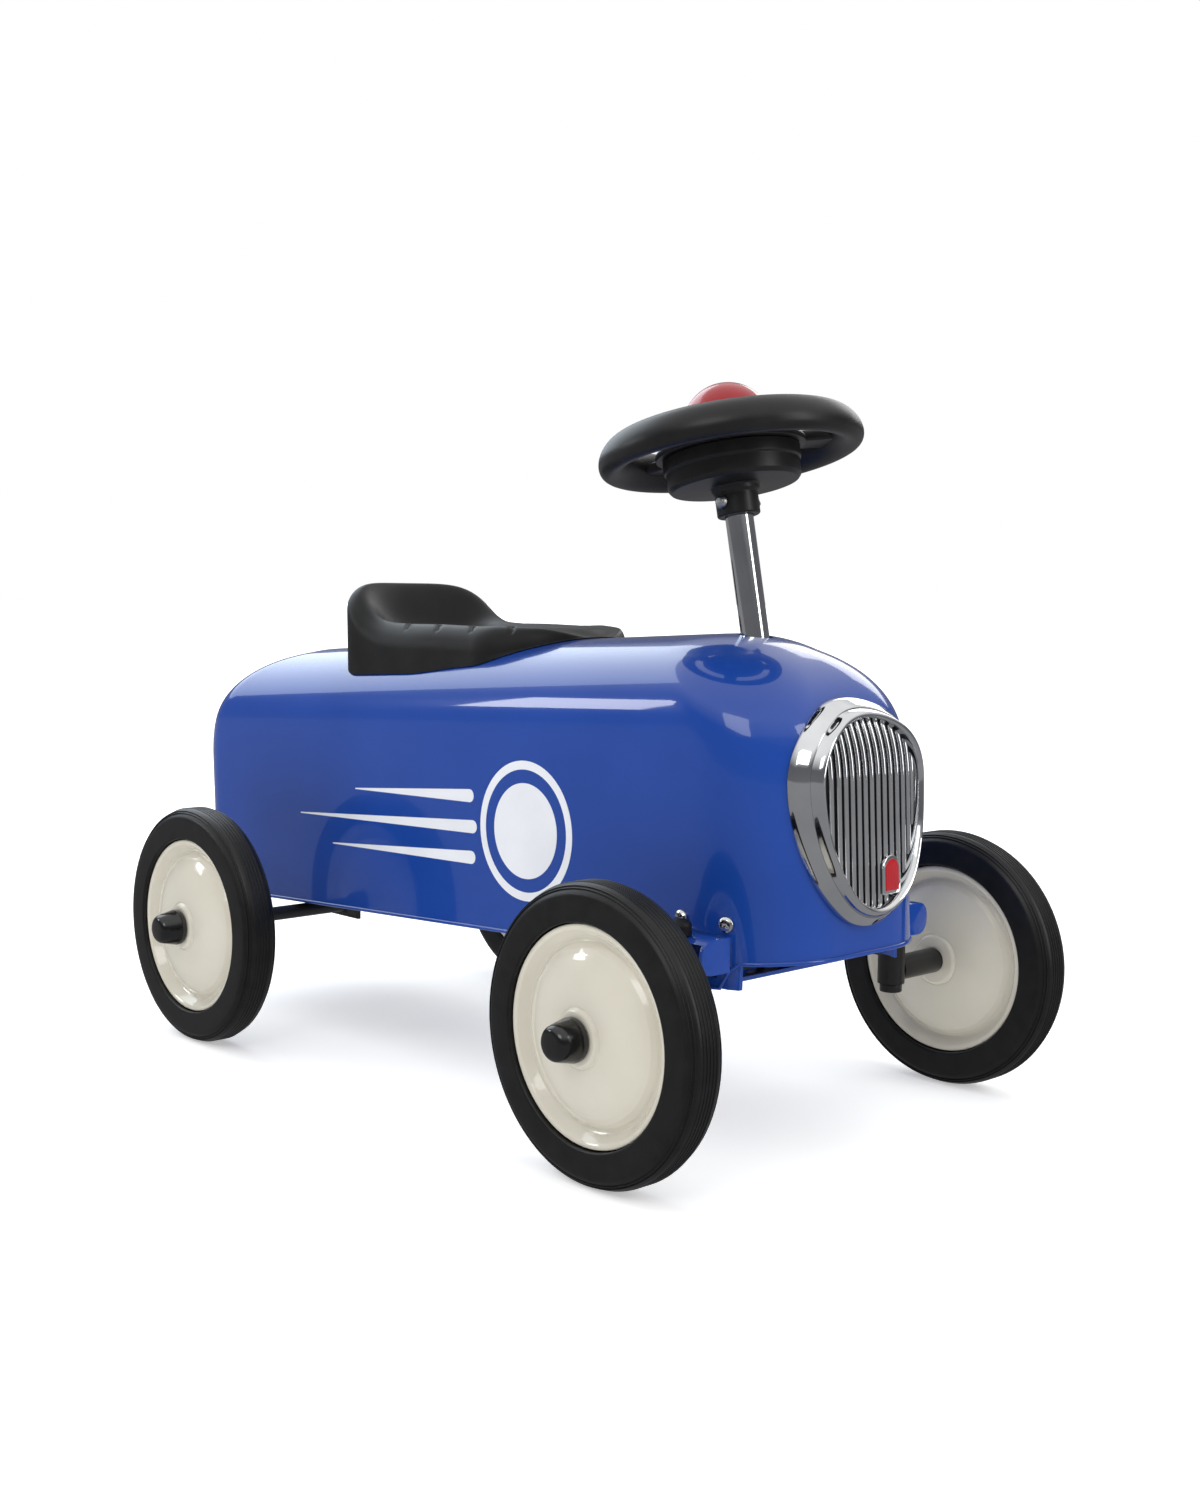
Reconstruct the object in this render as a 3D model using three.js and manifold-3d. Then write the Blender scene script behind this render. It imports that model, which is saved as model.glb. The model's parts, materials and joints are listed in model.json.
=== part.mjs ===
// A child's ride-on racing car in pressed steel, pushed along with the feet.
// Millimetres. +X is forward, +Y is the car's left and +Z is up; the tyres stand on z = 0.
// While it is drawn, x = 0 is midway between the axles. At the end the whole car slides along x,
// so that the origin lies under the middle of its overall length.
import * as THREE from 'three';
import { mergeVertices } from 'three/addons/utils/BufferGeometryUtils.js';
import Module from 'manifold-3d';

const wasm = await Module();
wasm.setup();

// ---- overall sizes ----
const WHEELBASE = 413.4;
const WHEEL_RADIUS = 82.5;
const TRACK = 311.2; // between the middle planes of a left and a right tyre
const BODY_RAKE = THREE.MathUtils.degToRad(2.8); // the body is bolted on nose up

// ---- body shell, in its own level frame ----
const SHELL_FRONT = WHEELBASE / 2 + 59.3;
const SHELL_REAR = WHEELBASE / 2 + 126.3;
const SHELL_HALF_WIDTH = 78;
const SHELL_BOTTOM = WHEEL_RADIUS + 18.5;
const SHELL_TOP = SHELL_BOTTOM + 184.4;
const SHEET = 1.5;
const ROOF_HEIGHT = 57.4; // how far the arched roof rises above the straight sides
const ROOF_FULLNESS = 2.4; // 2 is an ellipse, more is squarer
const NOSE_HEIGHT = 84;
const NOSE_LENGTH = 100;
const NOSE_FULLNESS = 2.1;
const TAIL_HEIGHT = 80.4;
const TAIL_LENGTH = 94;
const FRONT_CORNER = 54;
const REAR_CORNER = 30;

// ---- front axle ----
const KINGPIN_SPAN = 2 * SHELL_HALF_WIDTH + 34; // between the two kingpins
const KINGPIN_RADIUS = 4;
const BARREL_RADIUS = 8.5;
const BARREL_HEIGHT = 30;
const BARREL_DROP = 8.5; // the barrel's foot below the stub axle
const STEER_ARM = 30;
const STEER_ARM_THICK = 4;
const STEER_ARM_WIDTH = 14;
const STEER_LIMIT = THREE.MathUtils.degToRad(25);
const BEAM_THICK = 3;
const BEAM_WIDTH = 20;
const TIE_BAR_THICK = 3;
const TIE_BAR_WIDTH = 22;
const TIE_PIN_RADIUS = 3;
const CARRIER_THICK = 2.5;
const CARRIER_WIDTH = 33;
const SCREW_HEIGHT = WHEEL_RADIUS + 51.5;
const CARRIER_TAB_TOP = SCREW_HEIGHT + 7;
const SCREW_SPACING = 32.5;
const SCREW_RADIUS = 2.5;
const SCREW_HEAD_RADIUS = 4.6;

// ---- axles and wheels ----
const AXLE_RADIUS = 5;
const SLEEVE_RADIUS = 8;
const RIM_RADIUS = 60.3;
const RIM_WELL_RADIUS = 57;
const RIM_HALF_WIDTH = 9.9;
const BOSS_RADIUS = 14;
const BOSS_HALF_WIDTH = 17.4;
const DISC_SHEET = 2;
const TYRE_WIDTH = 24.8;
const CAP_RADIUS = 12.3;
const CAP_TIP_RADIUS = 8.7;
const CAP_LENGTH = 17.2;

// ---- steering column and wheel ----
const COLUMN_TILT = THREE.MathUtils.degToRad(11.4);
const COLUMN_RADIUS = 8.5;
const COLUMN_WALL = 1.5;
const STEERING_WHEEL_AT = new THREE.Vector3(WHEELBASE / 2 - 57.3, 0, SHELL_TOP + 123.6);
const STEERING_WHEEL_RADIUS = 80;
const RIM_GRIP_WIDTH = 20;
const RIM_GRIP_HEIGHT = 22.5;
const RIM_GRIP_DROP = 3; // the grip's middle below the wheel's own middle
const HUB_RADIUS = 41.5;
const HUB_BOTTOM = -28.6; // along the column, from the middle of the rim
const HUB_TOP = -8.6;
const HUB_WALL = 3;
const COLLAR_RADIUS = 13;
const COLLAR_LENGTH = 18;
const HORN_RADIUS = 27;
const HORN_TOP = 35;
const HORN_TRAVEL = 3;
const HORN_WALL = 2.5;

// ---- seat ----
const SEAT_REAR = -168;
const SEAT_NOSE = 58;
const SEAT_HALF_WIDTH = 66;
const SEAT_NOSE_HALF_WIDTH = 20;
const SEAT_PAN_RISE = 13;
const SEAT_SKIRT = 31; // how far the sides reach down over the roof
const SEAT_BACK_RISE = 47;

// ---- grille ----
const GRILLE_HALF_WIDTH = 54;
const GRILLE_TOP = SHELL_BOTTOM + 145.5;
const GRILLE_BOTTOM = SHELL_BOTTOM + 15.5;
const GRILLE_WIDEST = SHELL_BOTTOM + 99;
const GRILLE_FRAME = 12; // width of the stepped chrome frame
const GRILLE_PROUD = 14;
const GRILLE_BARS = 15;
const BADGE_Y = 12;
const BADGE_HALF_WIDTH = 6;
const BADGE_HEIGHT = 20;

// ---- clearances ----
const GAP = 0.4; // between pieces that touch
const RUN = 0.08; // between a shaft and the bush that it turns in
const SLACK = 0.6; // between a pin and the slot it slides in

// ---- values that follow from the ones above ----
const AXLE_X = WHEELBASE / 2;
const AXLE_Z = WHEEL_RADIUS;
const KINGPIN_Y = KINGPIN_SPAN / 2;
const WHEEL_Y = TRACK / 2;
const BOSS_INNER_Y = WHEEL_Y - BOSS_HALF_WIDTH;
const BOSS_OUTER_Y = WHEEL_Y + BOSS_HALF_WIDTH;
const SLEEVE_END = BOSS_INNER_Y - 2 * GAP;
const AXLE_END = BOSS_OUTER_Y + 0.5 * CAP_LENGTH;
const BARREL_FOOT = AXLE_Z - BARREL_DROP;
const BARREL_TOP = BARREL_FOOT + BARREL_HEIGHT;
const BEAM_FOOT = BARREL_TOP + GAP;
const BEAM_TOP = BEAM_FOOT + BEAM_THICK;
const ARM_FOOT = AXLE_Z + SLEEVE_RADIUS + 1;
const ARM_TOP = ARM_FOOT + STEER_ARM_THICK;
const TIE_FOOT = ARM_TOP + 2;
const TIE_TOP = TIE_FOOT + TIE_BAR_THICK;
const TIE_X = AXLE_X - STEER_ARM;
const CARRIER_FOOT = BEAM_FOOT - 7.4;
const CARRIER_X = AXLE_X + 6;
const INNER_HALF_WIDTH = SHELL_HALF_WIDTH - SHEET;
const TAB_OUTER_Y = INNER_HALF_WIDTH - GAP;
const BRACKET_TOP = BEAM_TOP + 20.7;
const BRACKET_SHEET = 2.5;
const BRACKET_REACH = 22;
const BRACKET_HALF_LENGTH = 22.3;
const STEER_SHIFT = STEER_ARM * (1 - Math.cos(STEER_LIMIT));
const ROOF_START = SHELL_TOP - ROOF_HEIGHT;
const NOSE_START = SHELL_TOP - NOSE_HEIGHT;
const TAIL_START = SHELL_TOP - TAIL_HEIGHT;
const CROWN_ANGLE = THREE.MathUtils.degToRad(80); // the roof's arch ends here in a flat strip
const CROWN = ROOF_START + ROOF_HEIGHT * Math.sin(CROWN_ANGLE) ** (2 / ROOF_FULLNESS);

const car = new THREE.Group();
const raked = new THREE.Group(); // everything that follows the body's nose-up angle
raked.rotation.y = -BODY_RAKE;
const steering = new THREE.Group(); // everything on the column's axis
steering.position.copy(STEERING_WHEEL_AT);
steering.rotation.y = -COLUMN_TILT;
car.add(raked, steering);

// ---- finishes ----
const FINISH = {
  blue: { color: 0x2450a8, roughness: 0.12, metalness: 0.1 },
  chrome: { color: 0xd8dadc, roughness: 0.06, metalness: 1 },
  steel: { color: 0xa9adb1, roughness: 0.3, metalness: 1 },
  blackSteel: { color: 0x18181a, roughness: 0.35, metalness: 0.2 },
  blackPlastic: { color: 0x232323, roughness: 0.5, metalness: 0 },
  cream: { color: 0xe4ddce, roughness: 0.25, metalness: 0 },
  rubber: { color: 0x1e1f21, roughness: 0.75, metalness: 0 },
  red: { color: 0xa81c28, roughness: 0.2, metalness: 0 },
};

// ---- helpers ----

// Merges the shared vertices, drops slivers and turns the faces outwards.
function closed(geometry) {
  const bare = geometry.clone();
  for (const name of Object.keys(bare.attributes)) {
    if (name !== 'position') bare.deleteAttribute(name);
  }
  const merged = mergeVertices(bare, 1e-3);
  const index = merged.index.array;
  const place = merged.attributes.position;
  const corners = [0, 1, 2].map(() => new THREE.Vector3());
  const kept = [];
  let volume = 0;
  for (let i = 0; i < index.length; i += 3) {
    const [a, b, c] = [index[i], index[i + 1], index[i + 2]];
    if (a === b || b === c || c === a) continue;
    kept.push(a, b, c);
    [a, b, c].forEach((at, k) => corners[k].fromBufferAttribute(place, at));
    volume += corners[0].dot(corners[1].cross(corners[2]));
  }
  if (volume < 0) kept.reverse();
  merged.setIndex(kept);
  return merged;
}

function toSolid(geometry) {
  const whole = closed(geometry);
  return new wasm.Manifold(new wasm.Mesh({
    numProp: 3,
    vertProperties: new Float32Array(whole.attributes.position.array),
    triVerts: new Uint32Array(whole.index.array),
  }));
}

function toGeometry(body) {
  const mesh = body.getMesh();
  const geometry = new THREE.BufferGeometry();
  geometry.setAttribute('position', new THREE.BufferAttribute(new Float32Array(mesh.vertProperties), 3));
  geometry.setIndex(new THREE.BufferAttribute(new Uint32Array(mesh.triVerts), 1));
  return geometry;
}

function join(...pieces) {
  return toGeometry(pieces.map(toSolid).reduce((whole, piece) => whole.add(piece)));
}

function cut(piece, ...cutters) {
  return toGeometry(cutters.map(toSolid).reduce((whole, cutter) => whole.subtract(cutter), toSolid(piece)));
}

function addPart(parent, name, geometry, finish) {
  const whole = closed(geometry);
  whole.computeVertexNormals();
  const mesh = new THREE.Mesh(whole, new THREE.MeshStandardMaterial(FINISH[finish]));
  mesh.name = name;
  parent.add(mesh);
  return mesh;
}

// A box from its lowest corner to its highest one.
function block(low, high) {
  const size = high.map((value, i) => value - low[i]);
  const box = new THREE.BoxGeometry(...size);
  return box.translate(...low.map((value, i) => value + size[i] / 2));
}

// A turned piece about the y axis, from its [radius, y] outline.
function turned(outline, sides = 12) {
  const points = outline.map(([radius, y]) => new THREE.Vector2(radius, y));
  return new THREE.LatheGeometry(points, sides, Math.PI / sides);
}

function turnedUp(outline, sides = 12) {
  return turned(outline, sides).rotateX(Math.PI / 2);
}

function rod(radius, from, to, sides = 12) {
  return turned([[0, from], [radius, from], [radius, to], [0, to]], sides);
}

function rodUp(radius, from, to, sides = 12) {
  return rod(radius, from, to, sides).rotateX(Math.PI / 2);
}

// The outline radius whose flats just clear a round of this radius.
function around(radius, sides = 12) {
  return radius / Math.cos(Math.PI / sides);
}

// A plate in the xy plane, from z = 0 up to its thickness.
function plate(shape, thick, curveSegments = 4) {
  return new THREE.ExtrudeGeometry(shape, { depth: thick, bevelEnabled: false, curveSegments });
}

// A bar with round ends about two centres in the xy plane.
function roundBar(from, to, width) {
  const along = new THREE.Vector2(to[0] - from[0], to[1] - from[1]);
  const angle = along.angle();
  const shape = new THREE.Shape();
  shape.absarc(to[0], to[1], width / 2, angle - Math.PI / 2, angle + Math.PI / 2);
  shape.absarc(from[0], from[1], width / 2, angle + Math.PI / 2, angle + 1.5 * Math.PI);
  return shape;
}

function roundedRect(low, high, radius) {
  const shape = new THREE.Shape();
  shape.absarc(high[0] - radius, low[1] + radius, radius, -Math.PI / 2, 0);
  shape.absarc(high[0] - radius, high[1] - radius, radius, 0, Math.PI / 2);
  shape.absarc(low[0] + radius, high[1] - radius, radius, Math.PI / 2, Math.PI);
  shape.absarc(low[0] + radius, low[1] + radius, radius, Math.PI, 1.5 * Math.PI);
  return shape;
}

// Closes a stack of rings, each a list of Vector3 with the same count, into one solid.
function loft(rings, loops = false) {
  const count = rings[0].length;
  const points = rings.flat();
  const index = [];
  const last = loops ? rings.length : rings.length - 1;
  for (let r = 0; r < last; r += 1) {
    const next = (r + 1) % rings.length;
    for (let i = 0; i < count; i += 1) {
      const j = (i + 1) % count;
      const [a, b, c, d] = [r * count + i, r * count + j, next * count + j, next * count + i];
      index.push(a, b, c, a, c, d);
    }
  }
  if (!loops) {
    for (const [ring, flip] of [[0, true], [rings.length - 1, false]]) {
      const middle = points.length;
      const sum = rings[ring].reduce((all, point) => all.add(point), new THREE.Vector3());
      points.push(sum.divideScalar(count));
      for (let i = 0; i < count; i += 1) {
        const pair = [ring * count + i, ring * count + ((i + 1) % count)];
        if (flip) pair.reverse();
        index.push(pair[0], pair[1], middle);
      }
    }
  }
  const geometry = new THREE.BufferGeometry().setFromPoints(points);
  geometry.setIndex(index);
  return geometry;
}

// The right-hand copy of a left-hand piece.
function mirrored(geometry) {
  return geometry.clone().scale(1, -1, 1);
}

// ---- body shell ----

// How far a rounded edge has pulled in at a share of its height.
function pullIn(share, length, fullness) {
  const at = THREE.MathUtils.clamp(share, 0, 1);
  return length * (1 - (1 - at ** fullness) ** (1 / fullness));
}

// The body's outline at one height, grown outwards all round.
function bodyLevel(z, grow, cornerSteps = 5) {
  const side = SHELL_HALF_WIDTH - pullIn((z - ROOF_START) / ROOF_HEIGHT, SHELL_HALF_WIDTH, ROOF_FULLNESS);
  const front = SHELL_FRONT - pullIn((z - NOSE_START) / NOSE_HEIGHT, NOSE_LENGTH, NOSE_FULLNESS);
  const rear = -SHELL_REAR + pullIn((z - TAIL_START) / TAIL_HEIGHT, TAIL_LENGTH, 2);
  const ring = [];
  const corners = [
    [front, -1, FRONT_CORNER, -Math.PI / 2],
    [front, 1, FRONT_CORNER, 0],
    [rear, 1, REAR_CORNER, Math.PI / 2],
    [rear, -1, REAR_CORNER, Math.PI],
  ];
  for (const [end, sideSign, corner, start] of corners) {
    const radius = Math.min(corner, side);
    const middleX = end - Math.sign(end) * radius;
    const middleY = sideSign * (side - radius);
    for (let i = 0; i <= cornerSteps; i += 1) {
      const angle = start + (i / cornerSteps) * (Math.PI / 2);
      const reach = radius + grow;
      ring.push(new THREE.Vector3(middleX + reach * Math.cos(angle), middleY + reach * Math.sin(angle), z));
    }
  }
  return ring;
}

// The body's outer form as a solid, grown outwards and upwards.
function bodyForm(grow, bottom, levels = 7) {
  const rings = [bodyLevel(bottom, grow)];
  rings.push(bodyLevel(TAIL_START, grow));
  for (let i = 0; i <= levels; i += 1) {
    const angle = (i / levels) * CROWN_ANGLE;
    const z = ROOF_START + ROOF_HEIGHT * Math.sin(angle) ** (2 / ROOF_FULLNESS);
    const ring = bodyLevel(z, grow);
    ring.forEach((point) => point.setZ(z + grow * Math.sin(angle)));
    rings.push(ring);
  }
  return loft(rings);
}

// The x of the body's front at a place across and up, with a height above the skin.
function noseAt(y, z, proud) {
  const side = SHELL_HALF_WIDTH - pullIn((z - ROOF_START) / ROOF_HEIGHT, SHELL_HALF_WIDTH, ROOF_FULLNESS);
  const front = SHELL_FRONT - pullIn((z - NOSE_START) / NOSE_HEIGHT, NOSE_LENGTH, NOSE_FULLNESS);
  const radius = Math.min(FRONT_CORNER, side);
  const past = THREE.MathUtils.clamp(Math.abs(y) - (side - radius), 0, radius);
  return front - radius + Math.sqrt(radius * radius - past * past) + proud;
}

// Turns a piece from the level frame of the axles into the body's raked frame, and back.
function intoBody(geometry) {
  return geometry.rotateY(BODY_RAKE);
}

function outOfBody(geometry) {
  return geometry.rotateY(-BODY_RAKE);
}

// The side's surface at an x of the level frame: how far out it is, and how far it has turned.
function sideAt(x, z) {
  const past = x * Math.cos(BODY_RAKE) + z * Math.sin(BODY_RAKE) - (SHELL_FRONT - FRONT_CORNER);
  const turn = Math.asin(THREE.MathUtils.clamp(past / FRONT_CORNER, 0, 1));
  return { y: SHELL_HALF_WIDTH - FRONT_CORNER * (1 - Math.cos(turn)), turn };
}

// A cylinder on the column's axis, in the frame of the axles.
function onColumn(radius, from, to, sides = 16) {
  const tool = rodUp(radius, from, to, sides).rotateY(-COLUMN_TILT);
  return tool.translate(...STEERING_WHEEL_AT.toArray());
}

// How far along the column a height lies, from the middle of the steering wheel.
function alongColumn(z) {
  return (z - STEERING_WHEEL_AT.z) / Math.cos(COLUMN_TILT);
}

const ROOF_BUSH_WALL = 1.6;
const LOBE_HALF = CARRIER_WIDTH / 2 + 1.5;
const LOBE_FOOT = CARRIER_FOOT;
const SCREW_MIDDLE = AXLE_X + 1;
const screwPlaces = [-1, 1].map((end) => SCREW_MIDDLE + (end * SCREW_SPACING) / 2);
const seatBolts = [SEAT_REAR + 62, SEAT_NOSE - 66];

function beamWindow(side, margin) {
  const inner = side > 0 ? TAB_OUTER_Y - 10 : -SHELL_HALF_WIDTH - 5;
  const outer = side > 0 ? SHELL_HALF_WIDTH + 5 : -TAB_OUTER_Y + 10;
  const half = BEAM_WIDTH / 2 + margin;
  return block([AXLE_X - half, inner, BEAM_FOOT - margin], [AXLE_X + half, outer, BEAM_TOP + margin]);
}

function screwHoles() {
  return screwPlaces.flatMap((x) => {
    const seat = sideAt(x, SCREW_HEIGHT);
    const hole = rod(SCREW_RADIUS + GAP, -20, 20, 8).rotateZ(-seat.turn).translate(x, seat.y, SCREW_HEIGHT);
    return [hole, mirrored(hole)];
  });
}

function makeShell() {
  const depth = 60;
  const outer = bodyForm(0, SHELL_BOTTOM - depth);
  const inner = bodyForm(-SHEET, SHELL_BOTTOM - depth - 10);
  // The bottom edge, with a lobe hanging down each side where the axle carrier bolts on.
  const below = new THREE.Shape();
  below.moveTo(-2 * SHELL_REAR, 0);
  below.lineTo(2 * SHELL_FRONT, 0);
  below.lineTo(2 * SHELL_FRONT, SHELL_BOTTOM);
  below.lineTo(CARRIER_X + LOBE_HALF + 3, SHELL_BOTTOM);
  below.lineTo(CARRIER_X + LOBE_HALF, LOBE_FOOT - 7);
  below.lineTo(CARRIER_X + LOBE_HALF - 3, LOBE_FOOT - 10);
  below.lineTo(CARRIER_X - LOBE_HALF + 9, LOBE_FOOT - 10);
  below.lineTo(CARRIER_X - LOBE_HALF + 6, LOBE_FOOT - 7);
  below.lineTo(CARRIER_X - LOBE_HALF + 3, SHELL_BOTTOM);
  below.lineTo(-2 * SHELL_REAR, SHELL_BOTTOM);
  const edge = plate(below, 4 * SHELL_HALF_WIDTH).rotateX(Math.PI / 2).translate(0, 2 * SHELL_HALF_WIDTH, 0);
  const cutters = [inner, edge];
  cutters.push(intoBody(onColumn(COLUMN_RADIUS + ROOF_BUSH_WALL + GAP, -200, -90)));
  for (const hole of screwHoles()) cutters.push(intoBody(hole));
  for (const x of seatBolts) cutters.push(rodUp(3 + GAP, SHELL_TOP - 10, SHELL_TOP + 10, 8).translate(x, 0, 0));
  for (const side of [-1, 1]) cutters.push(intoBody(beamWindow(side, 1)));
  return cut(outer, ...cutters);
}
addPart(raked, 'body_shell', makeShell(), 'blue');

// ---- grille ----

// The egg outline of the grille, pulled in all round, as [y, z].
function eggPoint(angle, inset) {
  const across = Math.sin(angle);
  const up = Math.cos(angle);
  const half = GRILLE_HALF_WIDTH - inset;
  const rise = up > 0 ? GRILLE_TOP - GRILLE_WIDEST - inset : GRILLE_WIDEST - GRILLE_BOTTOM - inset;
  const power = up > 0 ? 1 : 2 / 1.8;
  return [
    half * Math.sign(across) * Math.abs(across) ** power,
    GRILLE_WIDEST + rise * Math.sign(up) * Math.abs(up) ** power,
  ];
}

// Half the height of the egg at a place across, above and below its widest line.
function eggHeights(y, inset) {
  const share = Math.min(1, Math.abs(y) / (GRILLE_HALF_WIDTH - inset));
  const up = (GRILLE_TOP - GRILLE_WIDEST - inset) * Math.sqrt(1 - share * share);
  const down = (GRILLE_WIDEST - GRILLE_BOTTOM - inset) * (1 - share ** 1.8) ** (1 / 1.8);
  return [GRILLE_WIDEST - down, GRILLE_WIDEST + up];
}

function makeGrilleSurround() {
  const steps = 32;
  const section = [
    [0, -6], [0, 0.35], [0.22, 0.7], [0.5, 0.62], [0.56, 0.78], [0.78, 1], [1, 0.85], [1, -6],
  ];
  const rings = [];
  for (let i = 0; i < steps; i += 1) {
    const angle = (i / steps) * 2 * Math.PI;
    rings.push(section.map(([inset, proud]) => {
      const [y, z] = eggPoint(angle, inset * GRILLE_FRAME);
      return new THREE.Vector3(noseAt(y, z, proud < 0 ? proud : proud * GRILLE_PROUD), y, z);
    }));
  }
  return cut(loft(rings, true), bodyForm(GAP, 0));
}
addPart(raked, 'grille_surround', makeGrilleSurround(), 'chrome');

// The bars are one pressing, a wavy plate with a round crest for each bar.
function makeGrilleBars() {
  const inset = GRILLE_FRAME + GAP;
  const reach = GRILLE_HALF_WIDTH - inset - 2;
  const waves = 2 * GRILLE_BARS;
  const crest = [0.3, 1];
  const rows = 4;
  const rings = [];
  for (let i = 0; i <= waves; i += 1) {
    const y = -reach + (2 * reach * i) / waves;
    const [low, high] = eggHeights(y, inset);
    const proud = 0.6 * GRILLE_PROUD * crest[i % 2];
    const column = [];
    for (let k = 0; k <= rows; k += 1) {
      const z = low + ((high - low) * k) / rows;
      column.push(new THREE.Vector3(noseAt(y, z, proud), y, z));
    }
    column.push(new THREE.Vector3(noseAt(y, high, -6), y, high));
    column.push(new THREE.Vector3(noseAt(y, low, -6), y, low));
    rings.push(column);
  }
  return cut(loft(rings), bodyForm(GAP, 0));
}
addPart(raked, 'grille_bars', makeGrilleBars(), 'chrome');

function makeBadge() {
  const [low] = eggHeights(BADGE_Y + BADGE_HALF_WIDTH, GRILLE_FRAME);
  const shield = new THREE.Shape();
  shield.moveTo(-BADGE_HALF_WIDTH, 0);
  shield.lineTo(BADGE_HALF_WIDTH, 0);
  shield.absarc(0, BADGE_HEIGHT - BADGE_HALF_WIDTH, BADGE_HALF_WIDTH, 0, Math.PI);
  const face = plate(shield, 2.5, 5).rotateX(Math.PI / 2).rotateZ(Math.PI / 2);
  return face.translate(SHELL_FRONT + 0.6 * GRILLE_PROUD + GAP, BADGE_Y, low + 1);
}
addPart(raked, 'grille_badge', makeBadge(), 'red');

// ---- seat ----

// Half the seat's width at a share of its length, 0 at the rear and 1 at the nose.
function seatHalfWidth(share) {
  const waist = THREE.MathUtils.smoothstep(share, 0.4, 0.86);
  const broad = THREE.MathUtils.lerp(SEAT_HALF_WIDTH, SEAT_NOSE_HALF_WIDTH, waist);
  const rearRound = share < 0.12 ? Math.sqrt(1 - ((0.12 - share) / 0.12) ** 2 * 0.45) : 1;
  const noseRound = share > 0.86 ? Math.sqrt(Math.max(0.02, 1 - ((share - 0.86) / 0.14) ** 2)) : 1;
  return broad * rearRound * noseRound;
}

// The seat's top above the roof line: a back at the rear, a dished pan and a low nose.
function seatRise(share) {
  const back = SEAT_BACK_RISE * (1 - THREE.MathUtils.smoothstep(share, 0.14, 0.44));
  const rear = share < 0.08 ? 0.86 + 0.14 * Math.sqrt(1 - ((0.08 - share) / 0.08) ** 2) : 1;
  const nose = share > 0.7 ? 1 - 0.85 * ((share - 0.7) / 0.3) ** 2 : 1;
  return Math.max(back, SEAT_PAN_RISE) * rear * nose;
}

function makeSeat() {
  const stations = 14;
  const arcs = 12;
  const rings = [];
  for (let s = 0; s <= stations; s += 1) {
    const share = s / stations;
    const x = THREE.MathUtils.lerp(SEAT_REAR, SEAT_NOSE, share);
    const half = seatHalfWidth(share);
    const top = SHELL_TOP + seatRise(share);
    const ring = [];
    for (let i = 0; i <= arcs; i += 1) {
      const angle = Math.PI * (i / arcs);
      const y = half * Math.sign(Math.cos(angle)) * Math.abs(Math.cos(angle)) ** 0.75;
      const drop = 78 * (1 - Math.sin(angle) ** 0.7);
      ring.push(new THREE.Vector3(x, y, top - drop));
    }
    rings.push(ring);
  }
  const foot = block([SEAT_REAR - 20, -100, 0], [SEAT_NOSE + 20, 100, SHELL_TOP - SEAT_SKIRT]);
  const holes = seatBolts.map((x) => rodUp(3 + GAP, SHELL_TOP - 10, SHELL_TOP + 9, 8).translate(x, 0, 0));
  return cut(loft(rings), bodyForm(GAP, 0), foot, ...holes);
}
addPart(raked, 'seat', makeSeat(), 'blackPlastic');

['rear', 'front'].forEach((name, i) => {
  const head = CROWN - SHEET - GAP;
  const bolt = turnedUp([[0, head - 4], [5.5, head - 4], [5.5, head], [3, head], [3, head + 9], [0, head + 9]], 8);
  addPart(raked, `seat_bolt_${name}`, bolt.translate(seatBolts[i], 0, 0), 'steel');
});

// ---- axle carrier, front beam and side screws ----

function makeCarrier() {
  const half = CARRIER_WIDTH / 2;
  const floor = block(
    [CARRIER_X - half, -TAB_OUTER_Y, CARRIER_FOOT],
    [AXLE_X + 7.5, TAB_OUTER_Y, CARRIER_FOOT + CARRIER_THICK],
  );
  const wide = SCREW_SPACING / 2 + 6.5;
  const pieces = [];
  const holes = [beamWindow(-1, 1), beamWindow(1, 1)];
  for (const side of [-1, 1]) {
    const [inner, outer] = [side * 50, side * TAB_OUTER_Y].sort((a, b) => a - b);
    pieces.push(block([CARRIER_X - half, inner, CARRIER_FOOT], [CARRIER_X + half, outer, SCREW_HEIGHT]));
    const [rear, front] = [SCREW_MIDDLE - wide, SCREW_MIDDLE + wide];
    pieces.push(block([rear, inner, SCREW_HEIGHT - 9], [front, outer, CARRIER_TAB_TOP]));
  }
  holes.push(...screwHoles());
  // The tabs follow the inside of the body, which already curves in towards the nose.
  const room = toSolid(outOfBody(bodyForm(-SHEET - GAP, 0)));
  const core = toSolid(outOfBody(bodyForm(-SHEET - GAP - CARRIER_THICK, -10)));
  const tabs = toSolid(join(...pieces)).intersect(room).subtract(core);
  const whole = toSolid(floor).intersect(room).add(tabs);
  return cut(toGeometry(whole), ...holes);
}
addPart(car, 'front_axle_carrier', makeCarrier(), 'blue');

function makeBeam() {
  const bar = plate(roundBar([AXLE_X, -KINGPIN_Y], [AXLE_X, KINGPIN_Y], BEAM_WIDTH), BEAM_THICK);
  const footX = columnX(BEAM_FOOT + BEAM_THICK / 2);
  const middle = plate(roundedRect([footX - 20, -24], [footX + 20, 24], 6), BEAM_THICK, 3);
  const whole = join(bar.translate(0, 0, BEAM_FOOT), middle.translate(0, 0, BEAM_FOOT));
  const span = [alongColumn(BEAM_FOOT) - 20, alongColumn(BEAM_TOP) + 20];
  const holes = [onColumn(COLUMN_RADIUS + 3 + GAP, ...span)];
  for (const side of [-1, 1]) {
    holes.push(rodUp(around(KINGPIN_RADIUS) + GAP, 0, 300).translate(AXLE_X, side * KINGPIN_Y, 0));
  }
  return cut(whole, ...holes);
}

// Where the column's axis lies at a height.
function columnX(z) {
  return STEERING_WHEEL_AT.x - alongColumn(z) * Math.sin(COLUMN_TILT);
}
addPart(car, 'front_axle_beam', makeBeam(), 'blackSteel');

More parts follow.
